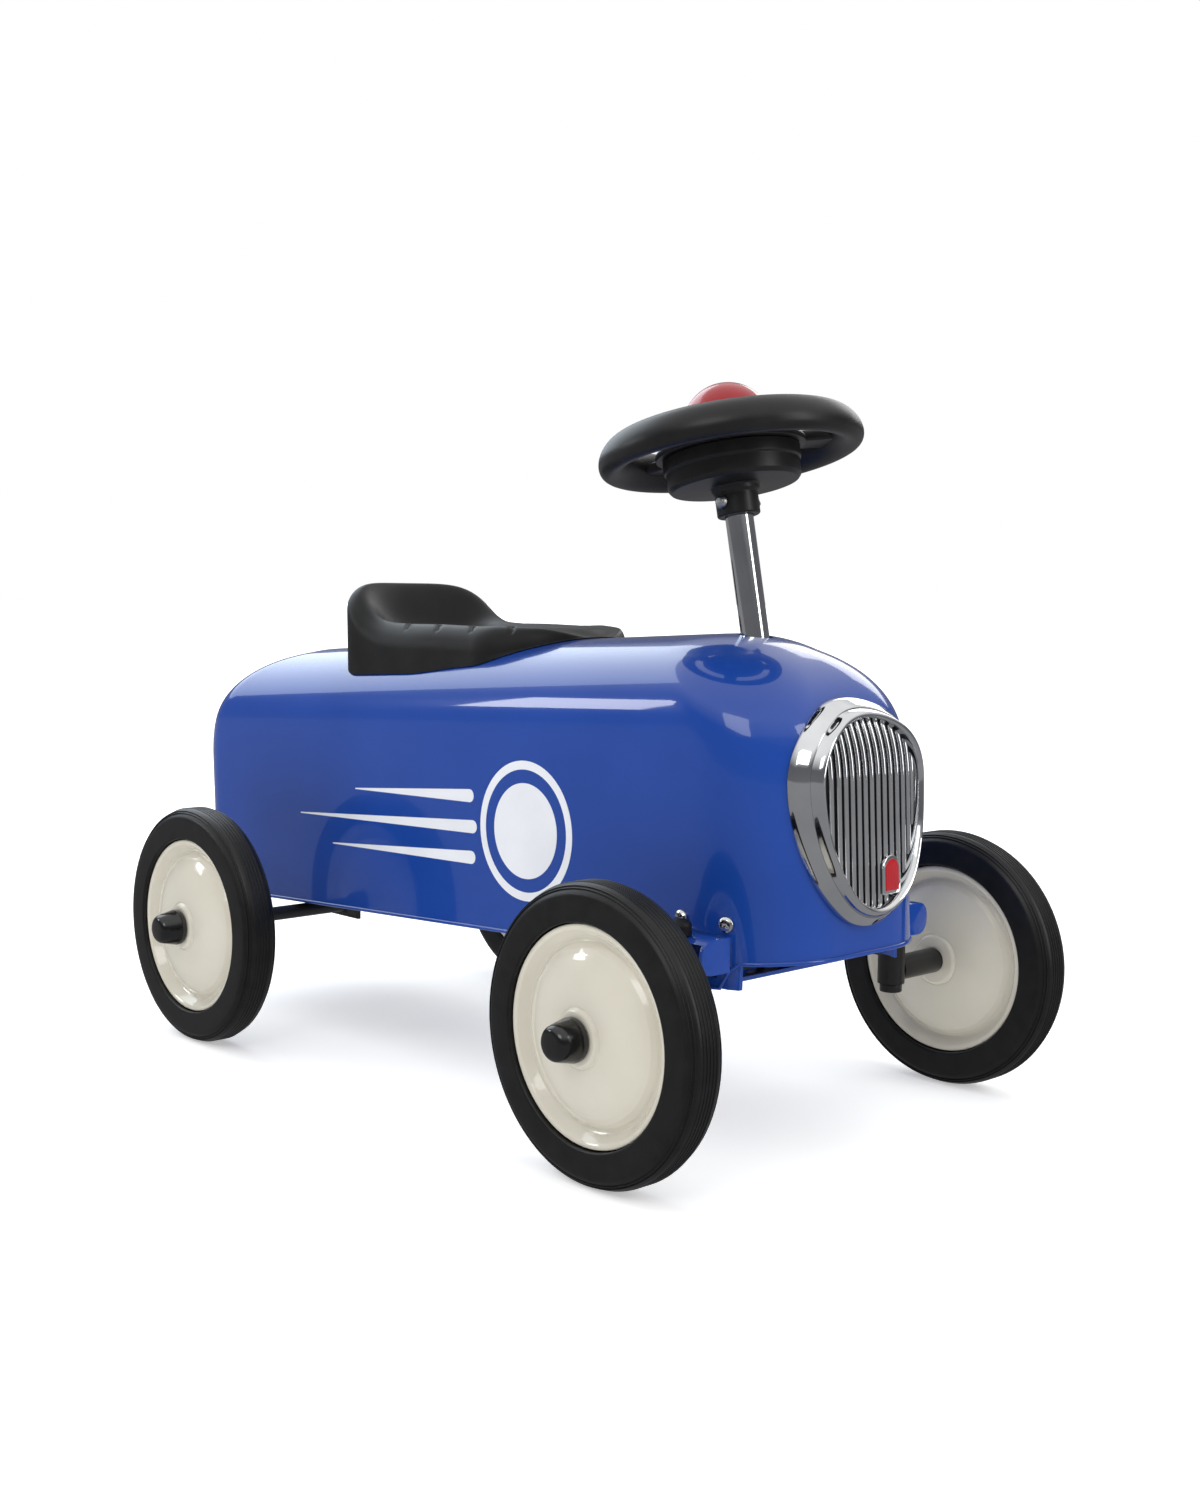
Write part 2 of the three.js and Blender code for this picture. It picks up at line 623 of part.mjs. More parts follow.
for (const [name, side] of [['left', 1], ['right', -1]]) {
  ['rear', 'front'].forEach((end, i) => {
    const seat = sideAt(screwPlaces[i], SCREW_HEIGHT);
    const screw = turned([
      [0, -9], [SCREW_RADIUS, -9], [SCREW_RADIUS, 0], [SCREW_HEAD_RADIUS, 0],
      [SCREW_HEAD_RADIUS * 0.8, 2], [0, 3],
    ], 8);
    screw.rotateZ(-seat.turn).translate(screwPlaces[i], seat.y + GAP, SCREW_HEIGHT);
    const placed = side > 0 ? screw : mirrored(screw);
    addPart(car, `side_screw_${name}_${end}`, placed, 'chrome');
  });
}

// ---- kingpins, brackets and knuckles ----

function makeKingpinBracket() {
  const wall = SHELL_HALF_WIDTH + GAP;
  const foot = BEAM_TOP + 1;
  const outline = roundedRect([-wall - BRACKET_REACH, foot], [-wall, BRACKET_TOP], 8);
  const hull = plate(outline, 2 * BRACKET_HALF_LENGTH, 4);
  hull.rotateX(Math.PI / 2).rotateZ(-Math.PI / 2);
  hull.translate(AXLE_X + BRACKET_HALF_LENGTH, 0, 0);
  const inside = BRACKET_HALF_LENGTH - BRACKET_SHEET;
  const hollow = block(
    [AXLE_X - inside, wall - 1, foot - 1],
    [AXLE_X + inside, wall + BRACKET_REACH + 1, BRACKET_TOP - BRACKET_SHEET],
  );
  const square = block(
    [AXLE_X - BRACKET_HALF_LENGTH, wall, foot],
    [AXLE_X + BRACKET_HALF_LENGTH, wall + 10, BRACKET_TOP],
  );
  const hole = rodUp(around(KINGPIN_RADIUS) + GAP, 0, 300).translate(AXLE_X, KINGPIN_Y, 0);
  return cut(join(hull, square), hollow, hole);
}

function makeKnuckle() {
  const barrel = rodUp(BARREL_RADIUS, BARREL_FOOT, BARREL_TOP).translate(AXLE_X, KINGPIN_Y, 0);
  const sleeve = rod(SLEEVE_RADIUS, KINGPIN_Y, SLEEVE_END).translate(AXLE_X, 0, AXLE_Z);
  const stub = rod(AXLE_RADIUS, KINGPIN_Y, AXLE_END).translate(AXLE_X, 0, AXLE_Z);
  const arm = plate(roundBar([AXLE_X, KINGPIN_Y], [TIE_X, KINGPIN_Y], STEER_ARM_WIDTH), STEER_ARM_THICK, 5);
  const bore = rodUp(around(KINGPIN_RADIUS) + GAP, 0, 300).translate(AXLE_X, KINGPIN_Y, 0);
  const eye = rodUp(around(TIE_PIN_RADIUS, 10) + GAP, 0, 300, 10).translate(TIE_X, KINGPIN_Y, 0);
  return cut(join(barrel, sleeve, stub, arm.translate(0, 0, ARM_FOOT)), bore, eye);
}

function makeKingpin() {
  const head = BARREL_FOOT - GAP;
  return turnedUp([
    [0, head - 5], [7, head - 5], [7, head], [KINGPIN_RADIUS, head],
    [KINGPIN_RADIUS, BRACKET_TOP + 6], [0, BRACKET_TOP + 6],
  ], 12).translate(AXLE_X, KINGPIN_Y, 0);
}

function makeAcornNut() {
  const foot = BRACKET_TOP + GAP;
  const bore = around(KINGPIN_RADIUS, 12) + GAP;
  return turnedUp([
    [bore, foot], [6.5, foot], [6.5, foot + 5.5], [4.6, foot + 8], [0, foot + 9],
    [0, foot + 6.5], [bore, foot + 6.5], [bore, foot],
  ], 12).translate(AXLE_X, KINGPIN_Y, 0);
}

function makeSpacer() {
  const bore = around(KINGPIN_RADIUS, 12) + GAP;
  const [foot, top] = [BEAM_TOP + GAP, BRACKET_TOP - BRACKET_SHEET - GAP];
  return turnedUp([[bore, foot], [7, foot], [7, top], [bore, top], [bore, foot]], 12)
    .translate(AXLE_X, KINGPIN_Y, 0);
}

function makeTiePin() {
  return turnedUp([
    [0, ARM_FOOT - 1], [TIE_PIN_RADIUS, ARM_FOOT - 1], [TIE_PIN_RADIUS, TIE_TOP + GAP],
    [6.5, TIE_TOP + GAP], [5.5, TIE_TOP + 2.5], [0, TIE_TOP + 2.5],
  ], 10).translate(TIE_X, KINGPIN_Y, 0);
}

const handed = {
  kingpin_bracket: [makeKingpinBracket(), 'blue'],
  knuckle: [makeKnuckle(), 'blackSteel'],
  kingpin: [makeKingpin(), 'blackSteel'],
  kingpin_nut: [makeAcornNut(), 'blackPlastic'],
  kingpin_spacer: [makeSpacer(), 'blackSteel'],
  tie_pin: [makeTiePin(), 'steel'],
};
for (const [name, [geometry, finish]] of Object.entries(handed)) {
  addPart(car, `${name}_left`, geometry, finish);
  addPart(car, `${name}_right`, mirrored(geometry), finish);
}

// ---- tie rod, with a slot for each pin ----
const CRANK_PIN_X = TIE_X + columnX(TIE_FOOT) - AXLE_X
  - STEER_ARM * (1 / Math.cos(COLUMN_TILT) - 1);

function makeTieRod() {
  const back = TIE_X - TIE_PIN_RADIUS - SLACK - 4.5;
  const reach = KINGPIN_Y + TIE_PIN_RADIUS + 8;
  const bar = plate(roundedRect([back, -reach], [back + TIE_BAR_WIDTH, reach], 7), TIE_BAR_THICK, 3);
  const slots = [[TIE_X, -KINGPIN_Y], [CRANK_PIN_X, 0], [TIE_X, KINGPIN_Y]].map(([x, y]) => {
    const slot = roundBar([x - 0.5, y], [x + STEER_SHIFT + 0.5, y], 2 * (TIE_PIN_RADIUS + SLACK));
    return plate(slot, 3 * TIE_BAR_THICK, 4).translate(0, 0, -TIE_BAR_THICK);
  });
  return cut(bar, ...slots).translate(0, 0, TIE_FOOT);
}
addPart(car, 'tie_rod', makeTieRod(), 'blackSteel');

// ---- rear axle ----

function makeRearHanger() {
  const width = 34;
  const plateTop = SHELL_BOTTOM - AXLE_X * Math.sin(BODY_RAKE) + 26;
  const floorZ = AXLE_Z + AXLE_RADIUS + 3;
  const pieces = [block(
    [-AXLE_X - width / 2, -TAB_OUTER_Y, floorZ],
    [-AXLE_X + width / 2, TAB_OUTER_Y, floorZ + CARRIER_THICK],
  )];
  // Two upturned tabs meet the body's sides and two ears hold the axle.
  for (const [y, foot, top] of [[TAB_OUTER_Y, floorZ, plateTop], [34, AXLE_Z - AXLE_RADIUS - 4, floorZ + 1]]) {
    for (const side of [-1, 1]) {
      const [inner, outer] = [side * (y - CARRIER_THICK), side * y].sort((a, b) => a - b);
      pieces.push(block([-AXLE_X - width / 2, inner, foot], [-AXLE_X + width / 2, outer, top]));
    }
  }
  const bore = rod(around(AXLE_RADIUS) + GAP, -100, 100).translate(-AXLE_X, 0, AXLE_Z);
  return cut(join(...pieces), bore);
}
addPart(car, 'rear_axle_hanger', makeRearHanger(), 'blackSteel');

function makeRearAxle() {
  const shoulder = SLEEVE_END - 8;
  return turned([
    [0, -AXLE_END], [AXLE_RADIUS, -AXLE_END], [AXLE_RADIUS, -SLEEVE_END],
    [SLEEVE_RADIUS, -SLEEVE_END], [SLEEVE_RADIUS, -shoulder], [AXLE_RADIUS, -shoulder],
    [AXLE_RADIUS, shoulder], [SLEEVE_RADIUS, shoulder], [SLEEVE_RADIUS, SLEEVE_END],
    [AXLE_RADIUS, SLEEVE_END], [AXLE_RADIUS, AXLE_END], [0, AXLE_END],
  ]).translate(-AXLE_X, 0, AXLE_Z);
}
addPart(car, 'rear_axle', makeRearAxle(), 'blackSteel');

// ---- wheels ----
const TYRE_SIDES = 24;
const DISC_SIDES = 12;
const BUSH_RADIUS = AXLE_RADIUS + 2;

function tyreOutline() {
  const half = TYRE_WIDTH / 2;
  const tread = WHEEL_RADIUS / Math.cos(Math.PI / TYRE_SIDES);
  const lip = around(RIM_RADIUS, TYRE_SIDES) + GAP;
  const well = around(RIM_WELL_RADIUS, TYRE_SIDES) + GAP;
  const lipY = RIM_HALF_WIDTH - 2.6 - GAP;
  return [
    [well, -lipY], [lip, -lipY], [lip, -half], [tread - 5.5, -half],
    [tread, -0.28 * TYRE_WIDTH], [tread, 0.28 * TYRE_WIDTH], [tread - 5.5, half],
    [lip, half], [lip, lipY], [well, lipY], [well, -lipY],
  ];
}

// Half of the pressed wheel disc; the other half is its mirror image.
function discOutline() {
  const bore = around(BUSH_RADIUS, DISC_SIDES) + GAP;
  const seam = GAP / 2;
  return [
    [bore, BOSS_HALF_WIDTH - 2 * DISC_SHEET], [bore, BOSS_HALF_WIDTH], [BOSS_RADIUS, BOSS_HALF_WIDTH],
    [BOSS_RADIUS + 0.8, BOSS_HALF_WIDTH - 2], [34, 12.6], [50, 5.4],
    [RIM_RADIUS - 1, RIM_HALF_WIDTH], [RIM_RADIUS, RIM_HALF_WIDTH - 2],
    [RIM_WELL_RADIUS, RIM_HALF_WIDTH - 2.6], [RIM_WELL_RADIUS, seam],
    [RIM_WELL_RADIUS - DISC_SHEET, seam], [RIM_WELL_RADIUS - DISC_SHEET, 5.6], [49.6, 3.2],
    [33.4, 10.5], [bore, BOSS_HALF_WIDTH - 2 * DISC_SHEET],
  ];
}

function capOutline() {
  const foot = BOSS_OUTER_Y - WHEEL_Y + 2 * GAP;
  const bore = around(AXLE_RADIUS, 10) + GAP;
  const depth = AXLE_END - WHEEL_Y + 1;
  return [
    [bore, foot], [CAP_RADIUS, foot], [CAP_RADIUS, foot + 4], [CAP_RADIUS - 1.4, foot + 5.5],
    [CAP_TIP_RADIUS, foot + CAP_LENGTH],
    [0, foot + CAP_LENGTH], [0, depth], [bore, depth], [bore, foot],
  ];
}

for (const [end, x] of [['front', AXLE_X], ['rear', -AXLE_X]]) {
  for (const [name, side] of [['left', 1], ['right', -1]]) {
    const wheel = new THREE.Group();
    wheel.position.set(x, side * WHEEL_Y, AXLE_Z);
    const tag = `${end}_${name}`;
    const outward = side > 0 ? 0 : Math.PI;
    const disc = turned(discOutline(), DISC_SIDES);
    addPart(wheel, `tyre_${tag}`, turned(tyreOutline(), TYRE_SIDES), 'rubber');
    addPart(wheel, `wheel_disc_outer_${tag}`, disc.clone().rotateX(outward), 'cream');
    addPart(wheel, `wheel_disc_inner_${tag}`, disc.clone().rotateX(outward + Math.PI), 'cream');
    const bore = around(AXLE_RADIUS + RUN);
    const bush = turned([
      [bore, -BOSS_HALF_WIDTH - 0.3], [BUSH_RADIUS, -BOSS_HALF_WIDTH - 0.3],
      [BUSH_RADIUS, BOSS_HALF_WIDTH + 0.3], [bore, BOSS_HALF_WIDTH + 0.3], [bore, -BOSS_HALF_WIDTH - 0.3],
    ]);
    addPart(wheel, `wheel_bush_${tag}`, bush, 'blackPlastic');
    addPart(wheel, `hub_cap_${tag}`, turned(capOutline(), 10).rotateX(outward), 'blackPlastic');
    car.add(wheel);
  }
}

// ---- steering column ----
const COLUMN_TOP = HUB_BOTTOM - 2;
const COLUMN_FOOT = alongColumn(CARRIER_FOOT + CARRIER_THICK + 3.5);
const ROOF_AT = alongColumn(SHELL_TOP - 1.5 + columnX(SHELL_TOP + 9) * Math.sin(BODY_RAKE));
const BOLT_AT = HUB_BOTTOM - 0.55 * COLLAR_LENGTH;
const BOLT_RADIUS = 2;

function makeColumn() {
  const [inner, outer] = [COLUMN_RADIUS - COLUMN_WALL, COLUMN_RADIUS];
  const tube = turnedUp([
    [inner, COLUMN_FOOT], [outer, COLUMN_FOOT], [outer, COLUMN_TOP], [inner, COLUMN_TOP], [inner, COLUMN_FOOT],
  ], 16);
  return cut(tube, rod(BOLT_RADIUS + GAP, -30, 30, 8).translate(0, 0, BOLT_AT));
}
addPart(steering, 'steering_column', makeColumn(), 'chrome');

// A flanged bush: its neck fills the hole and its flange rests on the sheet.
function makeBush(wall, neckEnd, flangeNear, flangeFar) {
  const bore = around(COLUMN_RADIUS + RUN, 16);
  const neck = COLUMN_RADIUS + wall;
  const flange = COLUMN_RADIUS + 5;
  return turnedUp([
    [bore, neckEnd], [neck, neckEnd], [neck, flangeNear], [flange, flangeNear], [flange, flangeFar],
    [bore, flangeFar], [bore, neckEnd],
  ], 16);
}
const roofBush = makeBush(ROOF_BUSH_WALL, ROOF_AT - 5, ROOF_AT - 9, ROOF_AT - 13);
addPart(steering, 'column_bush_upper', roofBush, 'blackPlastic');
const beamAt = alongColumn(BEAM_TOP);
const beamBush = makeBush(3, alongColumn(BEAM_FOOT) - 2, beamAt + 3.2, beamAt + 5.5);
addPart(steering, 'column_bush_lower', beamBush, 'blackPlastic');

function makePitman() {
  const foot = beamAt + 7;
  const collar = rodUp(COLUMN_RADIUS + 5, foot, foot + 12, 16);
  const arm = plate(roundBar([0, 0], [-STEER_ARM, 0], STEER_ARM_WIDTH), STEER_ARM_THICK, 5);
  const pin = rodUp(TIE_PIN_RADIUS, alongColumn(TIE_FOOT - 2) + STEER_ARM * Math.tan(COLUMN_TILT), foot + 2, 12);
  const whole = join(collar, arm.translate(0, 0, foot), pin.translate(-STEER_ARM, 0, 0));
  return cut(whole, rodUp(around(COLUMN_RADIUS, 16) + GAP / 2, foot - 20, foot + 30, 16));
}
addPart(steering, 'pitman_arm', makePitman(), 'blackSteel');

// ---- steering wheel, hub and horn ----
const BEZEL_BORE = HORN_RADIUS + 1.2;

function makeSteeringWheel() {
  const middle = STEERING_WHEEL_RADIUS - RIM_GRIP_WIDTH / 2;
  const grip = [];
  for (let i = 0; i <= 6; i += 1) {
    const angle = (i / 6) * 2 * Math.PI;
    const rise = (RIM_GRIP_HEIGHT / 2) * Math.sin(angle);
    grip.push([middle + (RIM_GRIP_WIDTH / 2) * Math.cos(angle), rise - RIM_GRIP_DROP]);
  }
  const ring = turnedUp(grip, 24);
  const foot = HUB_TOP + GAP;
  const bezel = turnedUp([
    [BEZEL_BORE, foot], [HUB_RADIUS + 4, foot], [HUB_RADIUS + 4, foot + 3.5], [HUB_RADIUS - 2, foot + 7],
    [HORN_RADIUS + 8, 8], [BEZEL_BORE, 10], [BEZEL_BORE, foot],
  ], 16);
  const pieces = [ring, bezel];
  for (let i = 0; i < 3; i += 1) {
    const spoke = block([HUB_RADIUS - 3, -11, -6.5], [middle - 2, 11, 0]);
    pieces.push(spoke.rotateZ(Math.PI + (i * 2 * Math.PI) / 3));
  }
  return join(...pieces);
}
addPart(steering, 'steering_wheel', makeSteeringWheel(), 'blackPlastic');

function makeHub() {
  const bore = around(COLUMN_RADIUS, 20) + GAP / 2;
  const collarFoot = HUB_BOTTOM - COLLAR_LENGTH;
  const cup = turnedUp([
    [0, HUB_BOTTOM + HUB_WALL], [HUB_RADIUS - HUB_WALL, HUB_BOTTOM + HUB_WALL],
    [HUB_RADIUS - HUB_WALL, HUB_TOP], [HUB_RADIUS, HUB_TOP], [HUB_RADIUS, HUB_BOTTOM + 2],
    [HUB_RADIUS - 2, HUB_BOTTOM], [COLLAR_RADIUS, HUB_BOTTOM], [COLLAR_RADIUS, collarFoot],
    [bore, collarFoot], [bore, COLUMN_TOP + GAP], [0, COLUMN_TOP + GAP],
  ], 20);
  return cut(cup, rod(BOLT_RADIUS + GAP, -30, 30, 8).translate(0, 0, BOLT_AT));
}
addPart(steering, 'steering_hub', makeHub(), 'blackPlastic');

function makeHubBolt() {
  const face = COLLAR_RADIUS + GAP;
  const bolt = turned([
    [0, -face - 3], [3.6, -face - 3], [4.2, -face], [BOLT_RADIUS, -face],
    [BOLT_RADIUS, face + 4], [0, face + 4],
  ], 8);
  return bolt.translate(0, 0, BOLT_AT);
}
addPart(steering, 'hub_bolt', makeHubBolt(), 'steel');

function makeHubNut() {
  const face = COLLAR_RADIUS + GAP;
  const bore = around(BOLT_RADIUS, 8) + GAP / 2;
  const nut = turned([[bore, face], [4.2, face], [4.2, face + 3.2], [bore, face + 3.2], [bore, face]], 6);
  return nut.translate(0, 0, BOLT_AT);
}
addPart(steering, 'hub_nut', makeHubNut(), 'steel');

const HORN_FLANGE_TOP = HUB_TOP - 0.2;
const HORN_SKIRT = 8;

function makeHornButton() {
  const steps = 3;
  const dome = (radius, top) => {
    const points = [];
    for (let i = 0; i <= steps; i += 1) {
      const angle = (i / steps) * (Math.PI / 2);
      points.push([radius * Math.cos(angle), HORN_SKIRT + (top - HORN_SKIRT) * Math.sin(angle)]);
    }
    points[steps][0] = 0;
    return points;
  };
  const flange = HORN_RADIUS + 4.5;
  const foot = HORN_FLANGE_TOP - 2;
  return turnedUp([
    ...dome(HORN_RADIUS, HORN_TOP).reverse(),
    [HORN_RADIUS, HORN_FLANGE_TOP], [flange, HORN_FLANGE_TOP], [flange, foot], [HORN_RADIUS - HORN_WALL, foot],
    ...dome(HORN_RADIUS - HORN_WALL, HORN_TOP - HORN_WALL),
  ], 16);
}
addPart(steering, 'horn_button', makeHornButton(), 'red');

// The spring is drawn at the height that it has with the button pressed.
function makeHornSpring() {
  const wire = 0.9;
  const radius = HORN_RADIUS + 1;
  const foot = HUB_BOTTOM + HUB_WALL + wire + GAP;
  const height = HORN_FLANGE_TOP - 2 - HORN_TRAVEL - foot - wire - GAP;
  const turns = 3;
  class Helix extends THREE.Curve {
    getPoint(t) {
      const angle = t * turns * 2 * Math.PI;
      return new THREE.Vector3(radius * Math.cos(angle), radius * Math.sin(angle), foot + height * t);
    }
  }
  const section = new THREE.Shape();
  section.absarc(0, 0, wire, 0, 2 * Math.PI);
  return new THREE.ExtrudeGeometry(section, { steps: turns * 9, curveSegments: 3, extrudePath: new Helix() });
}
addPart(steering, 'horn_spring', makeHornSpring(), 'steel');

// ---- the finished car, with its origin under the middle of its length ----
car.updateMatrixWorld(true);
const overall = new THREE.Box3().setFromObject(car, true);
car.position.x = -(overall.min.x + overall.max.x) / 2;
car.updateMatrixWorld(true);

export default car;
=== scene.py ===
# %% [markdown]
# # A foot-to-floor racer
# The real toy is a steel body on four wheels. A child sits astride it, steers with the wheel and
# pushes along with the feet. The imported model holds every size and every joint. This file gives
# each piece its fine surface, and starts by reading the model as a fixed frame.

# %% Load the frame
import bmesh
import bpy
import json
from math import asin, copysign, cos, exp, hypot, pi, radians, sin, sqrt, tan
from mathutils import Matrix, Vector


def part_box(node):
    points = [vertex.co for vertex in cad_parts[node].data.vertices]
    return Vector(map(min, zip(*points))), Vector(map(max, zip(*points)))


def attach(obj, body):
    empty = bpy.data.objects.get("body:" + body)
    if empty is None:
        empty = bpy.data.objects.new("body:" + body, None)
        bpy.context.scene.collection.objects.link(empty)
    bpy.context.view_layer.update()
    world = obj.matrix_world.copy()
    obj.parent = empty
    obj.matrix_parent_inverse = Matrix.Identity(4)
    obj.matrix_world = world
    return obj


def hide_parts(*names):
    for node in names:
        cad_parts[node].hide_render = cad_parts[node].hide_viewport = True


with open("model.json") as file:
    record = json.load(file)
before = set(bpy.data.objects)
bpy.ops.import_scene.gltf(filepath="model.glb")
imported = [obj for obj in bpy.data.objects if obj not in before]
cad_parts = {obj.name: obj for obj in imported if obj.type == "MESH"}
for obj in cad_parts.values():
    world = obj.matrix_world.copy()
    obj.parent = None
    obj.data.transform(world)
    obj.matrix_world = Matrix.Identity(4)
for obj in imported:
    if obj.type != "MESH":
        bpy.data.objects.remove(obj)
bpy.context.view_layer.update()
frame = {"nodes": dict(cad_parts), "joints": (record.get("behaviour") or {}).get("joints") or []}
MM = 0.001
UP = (0, 0, 1)


def into_scene(name, data):
    """An object for some data, linked to the scene."""
    made = bpy.data.objects.new(name, data)
    bpy.context.scene.collection.objects.link(made)
    return made


# %% [markdown]
# ## Places that everything is measured from
# The two axles give the middle of the car and the wheels' size. The steering joint gives the column's
# axis. The body is bolted on nose up, so it has a frame of its own, turned by the rake.

# %% Axles, column and the raked frame
SIDES = {"left": 1, "right": -1}
ENDS = ("front", "rear")


def middle(node):
    low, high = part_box(node)
    return (low + high) / 2


FRONT_AXLE = middle("tyre_front_left")
REAR_AXLE = middle("tyre_rear_left")
CENTRE_X = (FRONT_AXLE.x + REAR_AXLE.x) / 2
AXLE_X = (FRONT_AXLE.x - REAR_AXLE.x) / 2 / MM
WHEEL_RADIUS = FRONT_AXLE.z / MM
WHEEL_Y = FRONT_AXLE.y
KINGPIN_Y = middle("kingpin_left").y
RAKE = radians(2.8)
STEERING = next(j for j in frame["joints"] if j["name"] == "steering_turn")
COLUMN_AT = Vector(STEERING["pos_m"])
COLUMN_UP = Vector(STEERING["axis"]).normalized()
COLUMN = (COLUMN_AT, COLUMN_UP)


def in_body(x, y, z):
    """A point of the raked body, in millimetres, as a point of the model in metres."""
    along = x * cos(RAKE) - z * sin(RAKE)
    up = x * sin(RAKE) + z * cos(RAKE)
    return Vector((along * MM + CENTRE_X, y * MM, up * MM))


print("axle at", round(AXLE_X, 1), "mm, wheel radius", round(WHEEL_RADIUS, 1), "mm")

# %% [markdown]
# ## Camera, floor and light
# A pale floor and a white world act as a studio cove. The world is darker near the horizon, because
# chrome only reads as chrome when it has light and dark to reflect.

# %% Camera
LENS, SENSOR = 41.88, 36
EYE = (875.4, -776.8, 314)
YAW, PITCH, ROLL = radians(137.16), radians(-4.99), radians(0.48)
camera_data = bpy.data.cameras.new("studio_camera")
camera_data.sensor_width = SENSOR
camera_data.lens = LENS
camera = into_scene("studio_camera", camera_data)
bpy.context.scene.camera = camera
look = Vector((cos(PITCH) * cos(YAW), cos(PITCH) * sin(YAW), sin(PITCH)))
level_right = look.cross(Vector(UP)).normalized()
level_up = level_right.cross(look)
right = cos(ROLL) * level_right + sin(ROLL) * level_up
above = right.cross(look)
turn = Matrix((right, above, -look)).transposed().to_4x4()
eye_at = Vector((EYE[0] * MM + CENTRE_X, EYE[1] * MM, EYE[2] * MM))
camera.matrix_world = Matrix.Translation(eye_at) @ turn
print("camera at", [round(c, 3) for c in eye_at])

# %% [markdown]
# The world, the finishes and the floor are node trees, built with four small helpers.


# %% Helpers for node trees
def set_inputs(node, values):
    for socket, value in values.items():
        node.inputs[socket].default_value = value


def add_node(tree, kind, values=None):
    """Adds a node and sets the inputs that are named."""
    node = tree.nodes.new(kind)
    set_inputs(node, values or {})
    return node


def colour_ramp(tree, stops):
    """A ramp from (position, colour) pairs, lowest first."""
    node = tree.nodes.new("ShaderNodeValToRGB")
    elements = node.color_ramp.elements
    while len(elements) < len(stops):
        elements.new(1)
    for element, (position, colour) in zip(elements, stops):
        element.position = position
        element.color = (*colour, 1)
    return node


def wire(tree, *runs):
    """Each run is (node, its output, next node, its input)."""
    for source, leaves_by, target, enters_by in runs:
        tree.links.new(source.outputs[leaves_by], target.inputs[enters_by])


# %% World
SKY = ((0.42, (0.16, 0.16, 0.17)), (0.66, (0.13, 0.13, 0.14)), (0.84, (1, 1, 1)))
SKY_STRENGTH = 1.1
world = bpy.data.worlds.new("studio_world")
bpy.context.scene.world = world
world.use_nodes = True
sky = world.node_tree
sky.nodes.clear()
direction = add_node(sky, "ShaderNodeTexCoord")
split = add_node(sky, "ShaderNodeSeparateXYZ")
height = add_node(sky, "ShaderNodeMapRange", {"From Min": -1})
ramp = colour_ramp(sky, SKY)
lit = add_node(sky, "ShaderNodeBackground", {"Strength": SKY_STRENGTH})
seen = add_node(sky, "ShaderNodeBackground", {"Color": (1, 1, 1, 1), "Strength": 1})
which = add_node(sky, "ShaderNodeLightPath")
mix = add_node(sky, "ShaderNodeMixShader")
out = add_node(sky, "ShaderNodeOutputWorld")
wire(sky, (direction, "Generated", split, 0), (split, "Z", height, "Value"), (height, 0, ramp, 0),
     (ramp, 0, lit, "Color"), (which, "Is Camera Ray", mix, 0), (lit, 0, mix, 1), (seen, 0, mix, 2),
     (mix, 0, out, "Surface"))
bpy.context.scene.view_settings.view_transform = "Standard"

# %% [markdown]
# Each lamp is a soft box, so that chrome and enamel show it as a broad highlight.

# %% Soft lamps
PLAIN = (1, 1, 1)
LAMPS = {
    "lamp_behind": ((-1.55, 0.12, 1.25), (0, 0, 0.2), (1.9, 1.3), 17, (0.8, 0.91, 1)),
    "lamp_fill": ((0.9, -1.9, 1.5), (0, 0, 0.2), (1.1, 0.8), 9, PLAIN),
    "lamp_window": ((-1.5, -1.35, 0.85), (0, 0, 0.1), (0.36, 0.36), 3.5, PLAIN),
    "lamp_nose": ((1.9, 0.5, 0.85), (0, 0, 0.3), (0.5, 1.3), 9, PLAIN),
    "lamp_far_side": ((-0.5, 1.9, 1.2), (0, 0, 0.2), (1.1, 0.8), 7, PLAIN),
}
for name, (stand, aim, size, watts, tint) in LAMPS.items():
    lamp = bpy.data.lights.new(name, "AREA")
    lamp.shape = "RECTANGLE"
    lamp.size, lamp.size_y = size
    lamp.energy = watts
    lamp.color = tint
    box = into_scene(name, lamp)
    box.location = stand
    box.rotation_euler = (Vector(aim) - Vector(stand)).to_track_quat("-Z", "Y").to_euler()
print("lamps", list(LAMPS))

# %% [markdown]
# ## Finishes
# Each finish is a Principled shader. Fine noise on object coordinates moves the colour and the
# roughness a little and gives a bump, so that no surface is one flat value. What is the same all
# over, such as a clear coat, is set on the shader's own socket.


# %% One helper for every finish
def finish(name, colours, rough, metal=0.0, coat=0.0, grain=(300, 0.05), cloud=25, gloss=0.5):
    """colours and rough are (low, high) pairs. grain is the bump's (scale, strength)."""
    material = bpy.data.materials.new(name)
    material.use_nodes = True
    tree = material.node_tree
    shader = tree.nodes["Principled BSDF"]
    set_inputs(shader, {"Metallic": metal, "Coat Weight": coat, "Coat Roughness": 0.04,
                        "Specular IOR Level": gloss})
    place = add_node(tree, "ShaderNodeTexCoord")
    broad = add_node(tree, "ShaderNodeTexNoise", {"Scale": cloud, "Detail": 4})
    tint = colour_ramp(tree, ((0.3, colours[0]), (0.7, colours[1])))
    spread = add_node(tree, "ShaderNodeMapRange", {"To Min": rough[0], "To Max": rough[1]})
    fine = add_node(tree, "ShaderNodeTexNoise", {"Scale": grain[0], "Detail": 3})
    bump = add_node(tree, "ShaderNodeBump", {"Strength": grain[1], "Distance": 0.3 * MM})
    wire(tree, (place, "Object", broad, "Vector"), (broad, "Fac", tint, 0),
         (tint, 0, shader, "Base Color"), (broad, "Fac", spread, "Value"),
         (spread, 0, shader, "Roughness"), (place, "Object", fine, "Vector"),
         (fine, "Fac", bump, "Height"), (bump, 0, shader, "Normal"))
    return material


